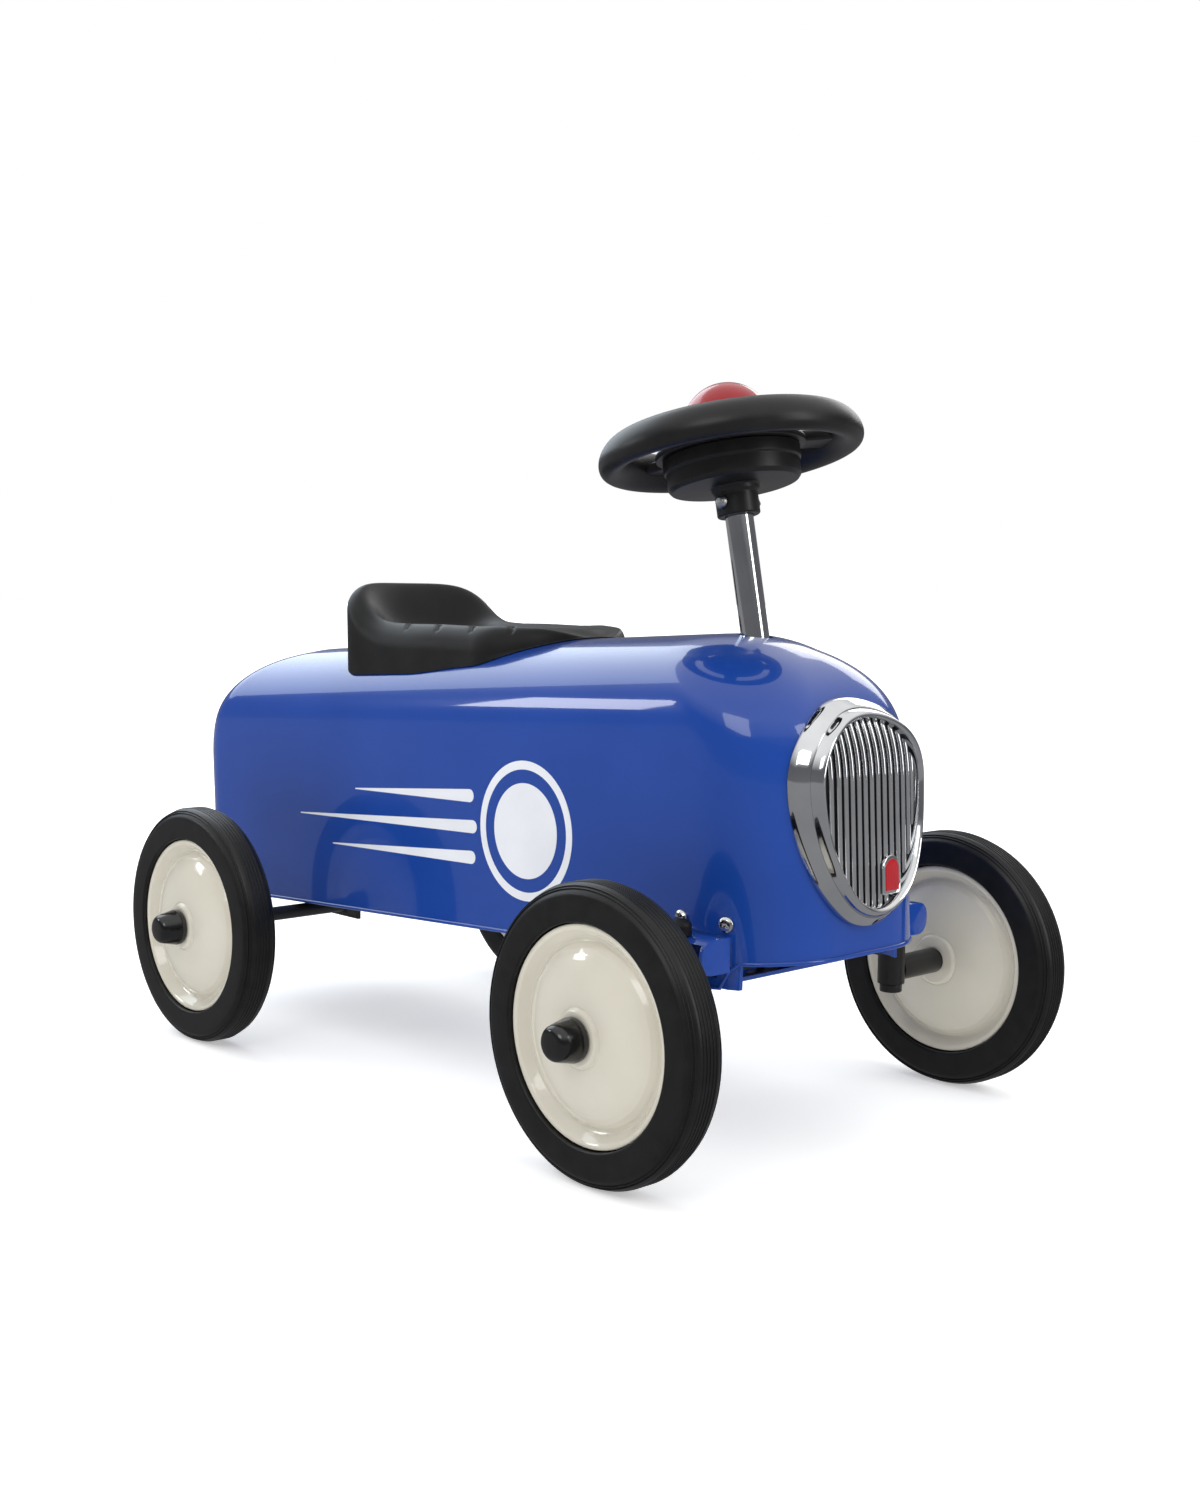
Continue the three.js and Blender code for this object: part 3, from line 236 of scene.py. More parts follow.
# %% [markdown]
# Blue and cream are enamel under a clear coat. The blacks differ in grain and gloss, so that grip,
# moulding, caps and tyres can be told apart.

# %% The car's own finishes
BLUE = finish("blue_gloss_enamel", ((0.008, 0.05, 0.29), (0.011, 0.058, 0.33)), (0.2, 0.28),
              coat=0.9, grain=(160, 0.01), cloud=9, gloss=0.12)
BLACK = finish("black_satin_enamel", ((0.006, 0.006, 0.007), (0.012, 0.012, 0.013)), (0.28, 0.42),
               coat=0.2, grain=(700, 0.12), gloss=0.35)
CHROME = finish("polished_chrome", ((0.6, 0.61, 0.62), (0.7, 0.71, 0.72)), (0.04, 0.1),
                metal=1, grain=(120, 0.02), cloud=40)
STEEL = finish("zinc_plated_steel", ((0.42, 0.43, 0.45), (0.58, 0.59, 0.6)), (0.22, 0.38),
               metal=1, grain=(900, 0.15), cloud=160)
MOULDED = finish("black_moulded_plastic", ((0.007, 0.007, 0.0072), (0.011, 0.011, 0.0115)), (0.38, 0.5),
                 grain=(1500, 0.22), cloud=60, gloss=0.18)
GRIP = finish("black_soft_grip", ((0.006, 0.006, 0.0065), (0.01, 0.01, 0.0105)), (0.32, 0.44),
              grain=(1100, 0.14), cloud=50, gloss=0.35)
GLOSSY = finish("black_gloss_plastic", ((0.004, 0.004, 0.0045), (0.007, 0.007, 0.0075)), (0.08, 0.16),
                cloud=50, gloss=0.6)
CREAM = finish("cream_gloss_enamel", ((0.62, 0.585, 0.49), (0.67, 0.635, 0.54)), (0.14, 0.24),
               coat=0.8, grain=(240, 0.05), cloud=18, gloss=0.3)
RED = finish("red_gloss_plastic", ((0.34, 0.008, 0.014), (0.42, 0.012, 0.02)), (0.16, 0.26),
             coat=0.4, grain=(400, 0.04), cloud=40, gloss=0.3)
RUBBER = finish("tyre_rubber", ((0.005, 0.005, 0.0055), (0.009, 0.009, 0.0095)), (0.32, 0.44),
                grain=(1300, 0.2), cloud=90, gloss=0.32)
WHITE = finish("white_side_film", ((0.74, 0.76, 0.8), (0.8, 0.82, 0.86)), (0.18, 0.26),
               coat=0.6, grain=(160, 0.01), cloud=30, gloss=0.2)
print("finishes", len(bpy.data.materials))

# %% [markdown]
# ## Helpers for meshes
# Every piece ends as a plain mesh at the origin that rides on one body of the frame. Round pieces
# are turned from an outline, as on a lathe. Flat ones are cut from a plate and given a small bevel.


# %% Making, smoothing and placing
def smooth(mesh, angle=35):
    mesh.shade_smooth()
    mesh.set_sharp_from_angle(angle=radians(angle))


def clean(mesh, reach):
    """Merges points that lie within reach, and turns the faces outwards."""
    work = bmesh.new()
    work.from_mesh(mesh)
    bmesh.ops.remove_doubles(work, verts=work.verts, dist=reach)
    bmesh.ops.recalc_face_normals(work, faces=work.faces)
    work.to_mesh(mesh)
    work.free()


def piece(name, points, faces, material, angle=35):
    """A closed mesh from points in metres."""
    mesh = bpy.data.meshes.new(name)
    mesh.from_pydata([tuple(p) for p in points], [], faces)
    clean(mesh, 1e-6)
    smooth(mesh, angle)
    mesh.materials.append(material)
    return into_scene(name, mesh)


def settle(made):
    """Applies a piece's modifiers, so that it is a plain mesh."""
    bpy.context.view_layer.update()
    dg = bpy.context.evaluated_depsgraph_get()
    mesh = bpy.data.meshes.new_from_object(made.evaluated_get(dg))
    made.modifiers.clear()
    made.data = mesh
    return made


def place(made, body, *stands_for):
    """Rides on a body, and stands for CAD nodes."""
    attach(made, body)
    if stands_for:
        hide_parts(*stands_for)
    return made


def combine(made, others, kind):
    """Joins (UNION) or cuts (DIFFERENCE) other shapes, which are then removed."""
    for other in others:
        step = made.modifiers.new("combine", "BOOLEAN")
        step.operation = kind
        step.solver = "EXACT"
        step.object = other
    settle(made)
    for other in others:
        bpy.data.objects.remove(other)
    smooth(made.data)
    return made


def soften(made, width, segments=3, angle=30):
    """Adds a bevel on a piece's sharp edges."""
    step = made.modifiers.new("bevel", "BEVEL")
    step.width = width * MM
    step.segments = segments
    step.limit_method = "ANGLE"
    step.angle_limit = radians(angle)


# %% [markdown]
# A turned piece is an outline of (radius, along) points carried round an axis. A plate is a closed
# outline of (u, v) points with a thickness.


# %% Outlines, turned pieces and plates
def tube(inner, outer, low, high):
    """The closed outline of a tube."""
    return [(inner, low), (outer, low), (outer, high), (inner, high), (inner, low)]


def rod(radius, low, high):
    return [(0, low), (radius, low), (radius, high), (0, high)]


def ring_faces(rings, count, closed=False):
    """The faces between rings of count points, listed one ring after another."""
    faces = []
    for ring in range(rings if closed else rings - 1):
        a, b = ring * count, (ring + 1) % rings * count
        for i in range(count):
            j = (i + 1) % count
            faces.append((a + i, a + j, b + j, b + i))
    return faces


def rounded(outline, radius, steps=4):
    """Rounds the inner corners of an open outline of (x, y) points."""
    soft = [Vector(outline[0])]
    for before, corner, after in zip(outline, outline[1:], outline[2:]):
        corner = Vector(corner)
        back, on = Vector(before) - corner, Vector(after) - corner
        reach = min(radius, back.length * 0.45, on.length * 0.45)
        start, end = corner + back.normalized() * reach, corner + on.normalized() * reach
        for i in range(steps + 1):
            t = i / steps
            soft.append(start * (1 - t) ** 2 + corner * 2 * t * (1 - t) + end * t * t)
    soft.append(Vector(outline[-1]))
    return soft


def basis(axis):
    """Two directions square to an axis."""
    axis = Vector(axis).normalized()
    helper = Vector(UP) if abs(axis.z) < 0.8 else Vector((1, 0, 0))
    across = helper.cross(axis).normalized()
    return axis, across, axis.cross(across)


def turned(name, outline, origin, axis, material, sides=64, round_to=0.0, angle=35):
    """Turns an outline of (radius, along) in millimetres about an axis through origin."""
    if round_to:
        outline = rounded(outline, round_to)
    axis, across, up = basis(axis)
    points = []
    for radius, along in outline:
        for i in range(sides):
            t = 2 * pi * i / sides
            out_by = across * cos(t) + up * sin(t)
            points.append(Vector(origin) + (axis * along + out_by * radius) * MM)
    return piece(name, points, ring_faces(len(outline), sides), material, angle)


def plate(name, outline, thick, to_model, material, bevel=0.4):
    """A flat plate. to_model turns (u, v, height) in millimetres into a point of the model."""
    count = len(outline)
    points = [to_model(u, v, h) for h in (0, thick) for u, v in outline]
    faces = [tuple(range(count)), tuple(range(2 * count - 1, count - 1, -1))]
    faces += [(i, (i + 1) % count, count + (i + 1) % count, count + i) for i in range(count)]
    made = piece(name, points, faces, material)
    if bevel:
        soften(made, bevel)
        settle(made)
        smooth(made.data, 40)
    return made


def box_between(name, low, high, material):
    ends = tuple(zip(low, high))
    corners = [(x, y, z) for x in ends[0] for y in ends[1] for z in ends[2]]
    faces = [(0, 1, 3, 2), (4, 6, 7, 5), (0, 4, 5, 1), (2, 3, 7, 6), (0, 2, 6, 4), (1, 5, 7, 3)]
    return piece(name, corners, faces, material)


def arc(x, y, radius, start, end, steps=8):
    """Points on an arc, in degrees."""
    turn_by = [radians(start + (end - start) * i / steps) for i in range(steps + 1)]
    return [(x + radius * cos(t), y + radius * sin(t)) for t in turn_by]


# %% [markdown]
# ## A Geometry Nodes tree that sweeps a round section along lines
# The grille's slats, the rolled edge of the sheet and the ribs of a tyre's tread all are round
# strips that follow a path. One tree with named inputs makes them all from bare edges.


# %% Sweep tree and strips
def new_tree(name, taken, inputs, made):
    """A tree that takes and makes geometry, with the identifier of each named input."""
    tree = bpy.data.node_groups.new(name, "GeometryNodeTree")
    ask = tree.interface.new_socket
    ask(taken, in_out="INPUT", socket_type="NodeSocketGeometry")
    sockets = {}
    for title, kind in inputs.items():
        sockets[title] = ask(title, in_out="INPUT", socket_type="NodeSocket" + kind).identifier
    ask(made, in_out="OUTPUT", socket_type="NodeSocketGeometry")
    return tree, sockets


def sweep_tree():
    asked = {"Radius": "Float", "Sides": "Int", "Finish": "Material"}
    tree, sockets = new_tree("sweep_along_edges", "Paths", asked, "Strips")
    add = tree.nodes.new
    given, result = add("NodeGroupInput"), add("NodeGroupOutput")
    curve, section = add("GeometryNodeMeshToCurve"), add("GeometryNodeCurvePrimitiveCircle")
    swept, shade = add("GeometryNodeCurveToMesh"), add("GeometryNodeSetShadeSmooth")
    real, paint = add("GeometryNodeRealizeInstances"), add("GeometryNodeSetMaterial")
    swept.inputs["Fill Caps"].default_value = True
    wire(tree, (given, "Paths", curve, "Mesh"), (given, "Radius", section, "Radius"),
         (given, "Sides", section, "Resolution"), (curve, 0, swept, "Curve"),
         (section, 0, swept, "Profile Curve"), (swept, 0, shade, "Geometry"), (shade, 0, real, 0),
         (real, 0, paint, "Geometry"), (given, "Finish", paint, "Material"), (paint, 0, result, 0))
    return tree, sockets


SWEEP, SWEEP_INPUTS = sweep_tree()


def strips(name, paths, radius, material, closed=False, sides=12):
    """Round strips along lists of points in metres."""
    points, edges = [], []
    for path in paths:
        first = len(points)
        points += [tuple(p) for p in path]
        edges += [(first + i, first + i + 1) for i in range(len(path) - 1)]
        if closed:
            edges.append((len(points) - 1, first))
    mesh = bpy.data.meshes.new(name)
    mesh.from_pydata(points, edges, [])
    made = into_scene(name, mesh)
    step = made.modifiers.new("sweep", "NODES")
    step.node_group = SWEEP
    step[SWEEP_INPUTS["Radius"]] = radius * MM
    step[SWEEP_INPUTS["Sides"]] = sides
    step[SWEEP_INPUTS["Finish"]] = material
    settle(made)
    clean(made.data, 1e-7)
    smooth(made.data, 50)
    return made


# %% [markdown]
# ## Body shell
# The body is one sheet of steel, drawn over a form: flat sides, an arched roof, and a nose and tail
# that curve in. Each level of it is a rounded rectangle, and its length and width shrink with
# height along quarter superellipses, so a stack of such rings gives the whole skin.

# %% Sizes of the body, in millimetres
SHELL_FRONT, SHELL_REAR = AXLE_X + 59.3, AXLE_X + 126.3
SHELL_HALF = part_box("body_shell")[1].y / MM
SHELL_BOTTOM = WHEEL_RADIUS + 18.5
SHELL_TOP = SHELL_BOTTOM + 184.4
SHEET = 1.5
ROOF = {"height": 57.4, "fullness": 2.4}
NOSE = {"height": 84, "length": 100, "fullness": 2.1}
TAIL = {"height": 80.4, "length": 94, "fullness": 2}
FRONT_CORNER, REAR_CORNER = 54, 30
LOBE_X, LOBE_HALF, LOBE_DROP = AXLE_X + 6, 18, 14


def pull_in(share, length, fullness):
    at = min(max(share, 0), 1)
    return length * (1 - (1 - at ** fullness) ** (1 / fullness))


def half_width(z):
    rise = (z - SHELL_TOP + ROOF["height"]) / ROOF["height"]
    return SHELL_HALF - pull_in(rise, SHELL_HALF, ROOF["fullness"])


def nose_x(z):
    rise = (z - SHELL_TOP + NOSE["height"]) / NOSE["height"]
    return SHELL_FRONT - pull_in(rise, NOSE["length"], NOSE["fullness"])


def tail_x(z):
    rise = (z - SHELL_TOP + TAIL["height"]) / TAIL["height"]
    return -SHELL_REAR + pull_in(rise, TAIL["length"], TAIL["fullness"])


def body_ring(z, steps=14, straight=70):
    """The body's outline at one height, as (x, y), with the same number of points at any height."""
    side, front, rear = half_width(z), nose_x(z), tail_x(z)
    corner_f, corner_r = min(FRONT_CORNER, side), min(REAR_CORNER, side)
    ring = arc(front - corner_f, -(side - corner_f), corner_f, -90, 0, steps)
    ring += arc(front - corner_f, side - corner_f, corner_f, 0, 90, steps)
    start, end = front - corner_f, rear + corner_r
    ring += [(start + (end - start) * i / straight, side) for i in range(1, straight)]
    ring += arc(rear + corner_r, side - corner_r, corner_r, 90, 180, steps)
    ring += arc(rear + corner_r, -(side - corner_r), corner_r, 180, 270, steps)
    ring += [(end + (start - end) * i / straight, -side) for i in range(1, straight)]
    return ring


def ease(value, low, high):
    t = min(max((value - low) / (high - low), 0), 1)
    return t * t * (3 - 2 * t)


def bottom_edge(x, y):
    """The sheet's lower edge, with a lobe on each side where the axle carrier bolts on."""
    on_side = ease(abs(y), SHELL_HALF - 22, SHELL_HALF - 12)
    lobe = ease(x, LOBE_X - LOBE_HALF + 2, LOBE_X - LOBE_HALF + 12)
    lobe *= 1 - ease(x, LOBE_X + LOBE_HALF - 6, LOBE_X + LOBE_HALF + 2)
    return SHELL_BOTTOM - LOBE_DROP * lobe * on_side


# %% [markdown]
# The levels lie far apart on the flat sides and close together where the roof turns over. Solidify
# gives the sheet its thickness, and the holes for the column and the beam are cut after that.

# %% Skin, then its thickness and holes
roof_start = SHELL_TOP - ROOF["height"]
straight_levels = [SHELL_BOTTOM + 28 * i for i in range(1, 4)]
curved_levels = [SHELL_BOTTOM + 84.4 + 8 * i for i in range(1, 6)]
curved_levels = [z for z in curved_levels if z < roof_start]
roof_levels = [roof_start + ROOF["height"] * sin(radians(3 * i)) ** (2 / ROOF["fullness"])
               for i in range(1, 31)]
levels = sorted({roof_start, *straight_levels, *curved_levels, *roof_levels})
first_ring = body_ring(SHELL_BOTTOM)
skin_points = [in_body(x, y, bottom_edge(x, y)) for x, y in first_ring]
for z in levels:
    skin_points += [in_body(x, y, z) for x, y in body_ring(z)]
shell = piece("body_skin", skin_points, ring_faces(len(levels) + 1, len(first_ring)), BLUE, 60)
wall = shell.modifiers.new("sheet", "SOLIDIFY")
wall.thickness = SHEET * MM
wall.offset = -1
settle(shell)

COLUMN_HOLE, SLOT_HALF = 10.6, 11
column_hole = turned("column_hole", rod(COLUMN_HOLE, -150, -90), *COLUMN, BLUE)
beam_low, beam_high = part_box("front_axle_beam")
beam_half = SLOT_HALF * MM
beam_slot = box_between("beam_slot", (FRONT_AXLE.x - beam_half, -0.1, beam_low.z - MM),
                        (FRONT_AXLE.x + beam_half, 0.1, beam_high.z + MM), BLUE)
combine(shell, [column_hole, beam_slot], "DIFFERENCE")
smooth(shell.data, 50)
even = shell.modifiers.new("even_normals", "WEIGHTED_NORMAL")
even.keep_sharp = True
settle(shell)
place(shell, "root", "body_shell")
print("body skin faces", len(shell.data.polygons))

# %% Rolled edge along the bottom
HEM_RADIUS, HEM_INSET = 1.3, 0.5
hem_share = 1 - HEM_INSET / SHELL_HALF
edge_path = [in_body(x, y * hem_share, bottom_edge(x, y)) for x, y in first_ring]
place(strips("body_rolled_edge", [edge_path], HEM_RADIUS, BLUE, closed=True, sides=10), "root")

# %% [markdown]
# ## Side graphic
# A plain roundel with tapering stripes behind it, in thin white film on each flat side. It is cut as
# thin plates, so that its edge is real and it lies on the paint.

# %% Roundels and stripes
FILM, FILM_GAP = 0.12, 0.02
ROUNDEL = (62, 166)


def film(name, outline, side):
    def on_side(u, v, h):
        return in_body(u, side * (SHELL_HALF + FILM_GAP + h), v)

    return plate(name, outline, FILM, on_side, WHITE, bevel=0)


def film_ring(name, outer, inner, side):
    centre = in_body(ROUNDEL[0], side * (SHELL_HALF + FILM_GAP), ROUNDEL[1])
    profile = [(outer, 0), (outer, FILM), (inner, FILM), (inner, 0), (outer, 0)]
    return turned(name, profile, centre, (0, side, 0), WHITE, 72)


def stripe(z, tail, head, thick):
    """A stripe with a round head that tapers to its tail."""
    return arc(head, z, thick / 2, -90, 90, 10) + [(tail, z + 0.4), (tail, z - 0.4)]


RING_OUTER, RING_INNER, DISC_RADIUS = 44, 38.5, 30
STRIPES = [(20, -120), (0, -190), (-20, -150)]
STRIPE_HEAD, STRIPE_STEP, STRIPE_THICK = 10, 0.12, 8.5
graphic = []
for name, side in SIDES.items():
    graphic.append(film_ring(f"roundel_ring_{name}", RING_OUTER, RING_INNER, side))
    graphic.append(film_ring(f"roundel_disc_{name}", DISC_RADIUS, 0, side))
    for i, (rise, tail) in enumerate(STRIPES):
        shape = stripe(ROUNDEL[1] + rise, tail, STRIPE_HEAD - abs(rise) * STRIPE_STEP, STRIPE_THICK)
        graphic.append(film(f"stripe_{i}_{name}", shape, side))
for film_piece in graphic:
    place(film_piece, "root")
print("side graphic pieces", len(graphic))

# %% [markdown]
# ## Grille
# The grille is an egg-shaped chrome frame, pressed with a broad sloping band and a raised inner ring.
# Its section is swept round the egg, and every point sits a set height above the curved nose.

# %% Egg outline on the nose
EGG = {"half": 54, "top": SHELL_BOTTOM + 145.5, "wide": SHELL_BOTTOM + 99, "bottom": SHELL_BOTTOM + 15.5}
FRAME_WIDTH, PROUD = 12, 14
LOWER_FULLNESS = 2.05


def on_nose(y, z, proud):
    side = half_width(z)
    corner = min(FRONT_CORNER, side)
    past = min(max(abs(y) - (side - corner), 0), corner)
    return in_body(nose_x(z) - corner + sqrt(corner * corner - past * past) + proud, y, z)


def egg_point(angle, inset):
    across, up = sin(angle), cos(angle)
    power = 1 if up > 0 else 2 / LOWER_FULLNESS
    rise = (EGG["top"] - EGG["wide"] if up > 0 else EGG["wide"] - EGG["bottom"]) - inset
    y = (EGG["half"] - inset) * copysign(abs(across) ** power, across)
    return y, EGG["wide"] + rise * copysign(abs(up) ** power, up)


def egg_heights(y, inset):
    share = min(1, abs(y) / (EGG["half"] - inset))
    up = (EGG["top"] - EGG["wide"] - inset) * sqrt(1 - share * share)
    down = (EGG["wide"] - EGG["bottom"] - inset) * (1 - share ** LOWER_FULLNESS) ** (1 / LOWER_FULLNESS)
    return EGG["wide"] - down, EGG["wide"] + up


# %% [markdown]
# The section runs from the outer edge over the sloping band and a groove to the inner ring. Its
# points are shares of the frame's width and height.

# %% Chrome frame
section = [(0, 0.03), (0.0, 0.2), (0.03, 0.3), (0.1, 0.36), (0.2, 0.44), (0.34, 0.56), (0.43, 0.62),
           (0.47, 0.62), (0.5, 0.6), (0.52, 0.64), (0.55, 0.76), (0.6, 0.88), (0.68, 0.97), (0.77, 1.0),
           (0.86, 0.97), (0.94, 0.88), (1.0, 0.72), (1.0, 0.06)]
FRAME_STEPS = 144
frame_points = []
for i in range(FRAME_STEPS):
    angle = 2 * pi * i / FRAME_STEPS
    for inset, proud in section:
        y, z = egg_point(angle, inset * FRAME_WIDTH)
        frame_points.append(on_nose(y, z, proud * PROUD))
frame_faces = ring_faces(FRAME_STEPS, len(section), closed=True)
place(piece("grille_frame", frame_points, frame_faces, CHROME, 40), "root", "grille_surround")

# %% [markdown]
# ## Slats
# Upright round slats follow the nose from the bottom of the egg to its top. Each slat's path is a
# line of points on the nose, and the sweep tree makes the metal. A black plate behind them is painted
# shade in the gaps.

# %% Slats, and a black plate behind them as painted shade
SLATS, SLAT_STEPS = 15, 40
SLAT_RADIUS, SLAT_PROUD = 1.75, 0.46 * PROUD
inset = FRAME_WIDTH - 1
slat_reach = EGG["half"] - inset - 3.2
slat_paths = []
for i in range(SLATS):
    y = -slat_reach + 2 * slat_reach * i / (SLATS - 1)
    low, high = egg_heights(y, inset)
    heights = [low + (high - low) * k / SLAT_STEPS for k in range(SLAT_STEPS + 1)]
    slat_paths.append([on_nose(y, z, SLAT_PROUD) for z in heights])
place(strips("grille_slats", slat_paths, SLAT_RADIUS, CHROME, sides=16), "root", "grille_bars")

# The plate's black is painted shade: it stands in for the dark depth between the slats.
BACK_LAYERS = (0.4, 2.0)
back_rows, back_cols = 24, 28
back_points, back_faces = [], []
for i in range(back_cols + 1):
    y = (EGG["half"] - inset - 0.2) * sin(pi * (i / back_cols - 0.5))
    low, high = egg_heights(y, inset)
    for depth in BACK_LAYERS:
        for k in range(back_rows + 1):
            z = low + (high - low) * k / back_rows
            back_points.append(on_nose(y, z, depth))
layer = back_rows + 1
stride = 2 * layer
for i in range(back_cols):
    a, b = i * stride, i * stride + layer
    for first in (a, b):
        for k in range(first, first + back_rows):
            back_faces.append((k, k + 1, k + 1 + stride, k + stride))
    for k in (0, back_rows):
        back_faces.append((a + k, b + k, b + k + stride, a + k + stride))
for a in (0, back_cols * stride):
    b = a + layer
    for k in range(back_rows):
        back_faces.append((a + k, a + k + 1, b + k + 1, b + k))
# Black here is painted shade for the gaps between the slats, not a part of the grille.
place(piece("grille_back_plate", back_points, back_faces, BLACK, 40), "root")
print("slats", SLATS)

# %% [markdown]
# The badge is an arch: a chrome rim with a plain red field in it. It leans back with the body.

# %% Badge
BADGE_WIDER, BADGE_TALLER, BADGE_DROP, BADGE_RIM = 1.8, 2, 4, 2.0
badge_low, badge_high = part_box("grille_badge")
badge_mid = (badge_low + badge_high) / 2
badge_half = (badge_high.y - badge_low.y) / 2 / MM + BADGE_WIDER
badge_tall = (badge_high.z - badge_low.z) / MM + BADGE_TALLER
badge_foot = badge_low.z - BADGE_DROP * MM


def on_badge(u, v, h):
    lean = -(v - badge_tall / 2) * tan(RAKE)
    return Vector((badge_mid.x + (h + lean - 1) * MM, badge_mid.y + u * MM, badge_foot + v * MM))


def on_rim(u, v, h):
    return on_badge(u, v, h + 1.7)


def arch(half, low, high):
    return [(-half, low), (half, low)] + arc(0, high - half, half, 0, 180, 16)


inside = arch(badge_half - BADGE_RIM, BADGE_RIM, badge_tall - BADGE_RIM)
rim = plate("badge_rim", arch(badge_half, 0, badge_tall), BADGE_RIM, on_badge, CHROME, 0.6)
field = plate("badge_field", inside, 0.8, on_rim, RED, 0.3)
place(rim, "root")
place(field, "root", "grille_badge")

# %% [markdown]
# ## Seat
# The saddle is one moulding that wraps over the roof, broad at the rear and narrow at the nose. A
# ridge runs round the back as a low backrest and falls away along the sides, with the pan dished
# between. Four short grooves cross each upper edge. All of that is one height over the outline.

# %% Seat's outline and heights
SEAT_REAR, SEAT_NOSE, SEAT_HALF = -167.5, 53, 65.5
BACK_RISE, PAN_RISE = 46.5, 13.5


def seat_share(x):
    return (x - SEAT_REAR) / (SEAT_NOSE - SEAT_REAR)


def seat_half(x):
    s = seat_share(x)
    taper = 1 - 0.07 * ease(s, 0.42, 0.76) - 0.1 * ease(s, 0.72, 0.9)
    rear = sqrt(max(0.0, 1 - max(0.0, (0.18 - s) / 0.18) ** 3))
    nose = sqrt(max(0.0, 1 - max(0.0, (s - 0.72) / 0.28) ** 2))
    return SEAT_HALF * taper * min(rear, nose)


def roof_z(y):
    share = min(1, abs(y) / SHELL_HALF)
    return roof_start + ROOF["height"] * (1 - share ** ROOF["fullness"]) ** (1 / ROOF["fullness"])


def nose_fall(x):
    s = seat_share(x)
    tip = max(0.1, 1 - max(0.0, (s - 0.89) / 0.11) ** 2.2)
    return (1 - 0.26 * ease(s, 0.4, 0.75)) * (1 - 0.3 * ease(s, 0.75, 0.95)) * tip


def ridge_rise(x):
    """The edge's height above the roof's crown: tall at the back, low along the sides."""
    back = max(0.0, x - SEAT_REAR)
    tall = 0.85 * exp(-(back / 31) ** 2) + 0.15 * (1 - ease(x, -150, -66))
    return PAN_RISE * nose_fall(x) + (BACK_RISE - PAN_RISE) * tall


def pan_rise(x, share):
    dish = 3.4 * (1 - ease(share, 0, 0.8)) * (1 - ease(seat_share(x), 0.62, 0.95))
    return PAN_RISE * nose_fall(x) - dish


def seat_rise(x, share):
    """share is 0 on the middle line and 1 at the outline."""
    low = pan_rise(x, share)
    return low + (ridge_rise(x) - low) * ease(share, 0.5, 0.88)


def edge_round(x):
    return 9.5 + 5 * ease(x, -150, -100) - 6 * ease(x, 5, 45)


GROOVES = [-84, -51, -18, 13]
GROOVE_DEPTH, GROOVE_WIDTH, GROOVE_HALF, GROOVE_INSET = 1.9, 1.5, 3.6, 11


def groove(x, y):
    depth = 0
    for at in GROOVES:
        u, v = x - at, abs(y) - (seat_half(at) - GROOVE_INSET)
        along = min(max((u + v) / 2, -GROOVE_HALF), GROOVE_HALF)
        off = hypot(u - along, v - along)
        depth = max(depth, GROOVE_DEPTH * exp(-(off / GROOVE_WIDTH) ** 2))
    return depth


# %% [markdown]
# The rings run from the middle of the pan outwards, over the edge, down the wall to the roof and
# back under to the middle.

# %% Rings of the seat
RING_STEPS = 240
SPINE_REAR, SPINE_NOSE = SEAT_REAR + 58, SEAT_NOSE - 26
GAP, TUCK, FLARE = 0.4, 0.99, 1.012
outline = []
for i in range(RING_STEPS):
    t = i / RING_STEPS
    x = SEAT_REAR + (SEAT_NOSE - SEAT_REAR) * (1 - cos(pi * t)) / 2
    outline.append((x, seat_half(x)))
outline += [(SEAT_NOSE, 0)] + [(x, -y) for x, y in reversed(outline[1:])]


def towards_spine(x, y, share):
    middle_x = min(max(x, SPINE_REAR), SPINE_NOSE)
    return middle_x + (x - middle_x) * share, y * share


def seat_ring(shares):
    """One closed ring of the top; shares says how far out each point of the outline is taken."""
    ring = []
    for (x, y), (share, drop) in zip(outline, shares):
        u, v = towards_spine(x, y, share)
        # The height comes from the outline's own x, so the backrest keeps its shape inwards.
        at = u + (x - u) * ease(share, 0.3, 0.8)
        top = SHELL_TOP + seat_rise(at, share) - drop - groove(u, v)
        ring.append(in_body(u, v, max(top, roof_z(v) + 0.8)))
    return ring


seat_rings = []
for share in [i / 22 * 0.66 for i in range(22)] + [0.66 + i / 20 * 0.34 for i in range(20)]:
    seat_rings.append(seat_ring([(share * (1 - edge_round(x) / SEAT_HALF), 0) for x, y in outline]))
for k in range(15):
    a = pi / 2 * k / 14
    shares = []
    for x, y in outline:
        radius = edge_round(x)
        shares.append((1 - radius / SEAT_HALF * (1 - sin(a)), radius * 1.3 * (1 - cos(a))))
    seat_rings.append(seat_ring(shares))
wall_top = seat_rings[-1]
wall_foot = [in_body(x, y * FLARE, roof_z(y) + GAP) for x, y in outline]
for k in range(1, 9):
    seat_rings.append([start.lerp(foot, k / 8) for start, foot in zip(wall_top, wall_foot)])
for share in [1 - i / 12 for i in range(13)]:
    under = [towards_spine(x, y, share * TUCK) for x, y in outline]
    seat_rings.append([in_body(u, v, roof_z(v) + GAP) for u, v in under])
seat_points = [point for ring in seat_rings for point in ring]
saddle = piece("seat_saddle", seat_points, ring_faces(len(seat_rings), len(outline)), MOULDED, 60)
place(saddle, "root", "seat")
print("seat faces", len(saddle.data.polygons))

# %% [markdown]
# ## Wheels
# A tyre of solid rubber sits between two pressed discs. The tread has fine ribs all the way round,
# which are circles on the same axis, swept by the tree. Each disc has a rolled lip, a step and a
# shallow dome up to a flat boss.

# %% Tyre, discs, bush and cap outlines
TYRE_HALF, TYRE_SIDES = 12.4, 112
TREAD = WHEEL_RADIUS - 0.5
RIB_RADIUS = 0.45
BOSS_OUT = 17.4

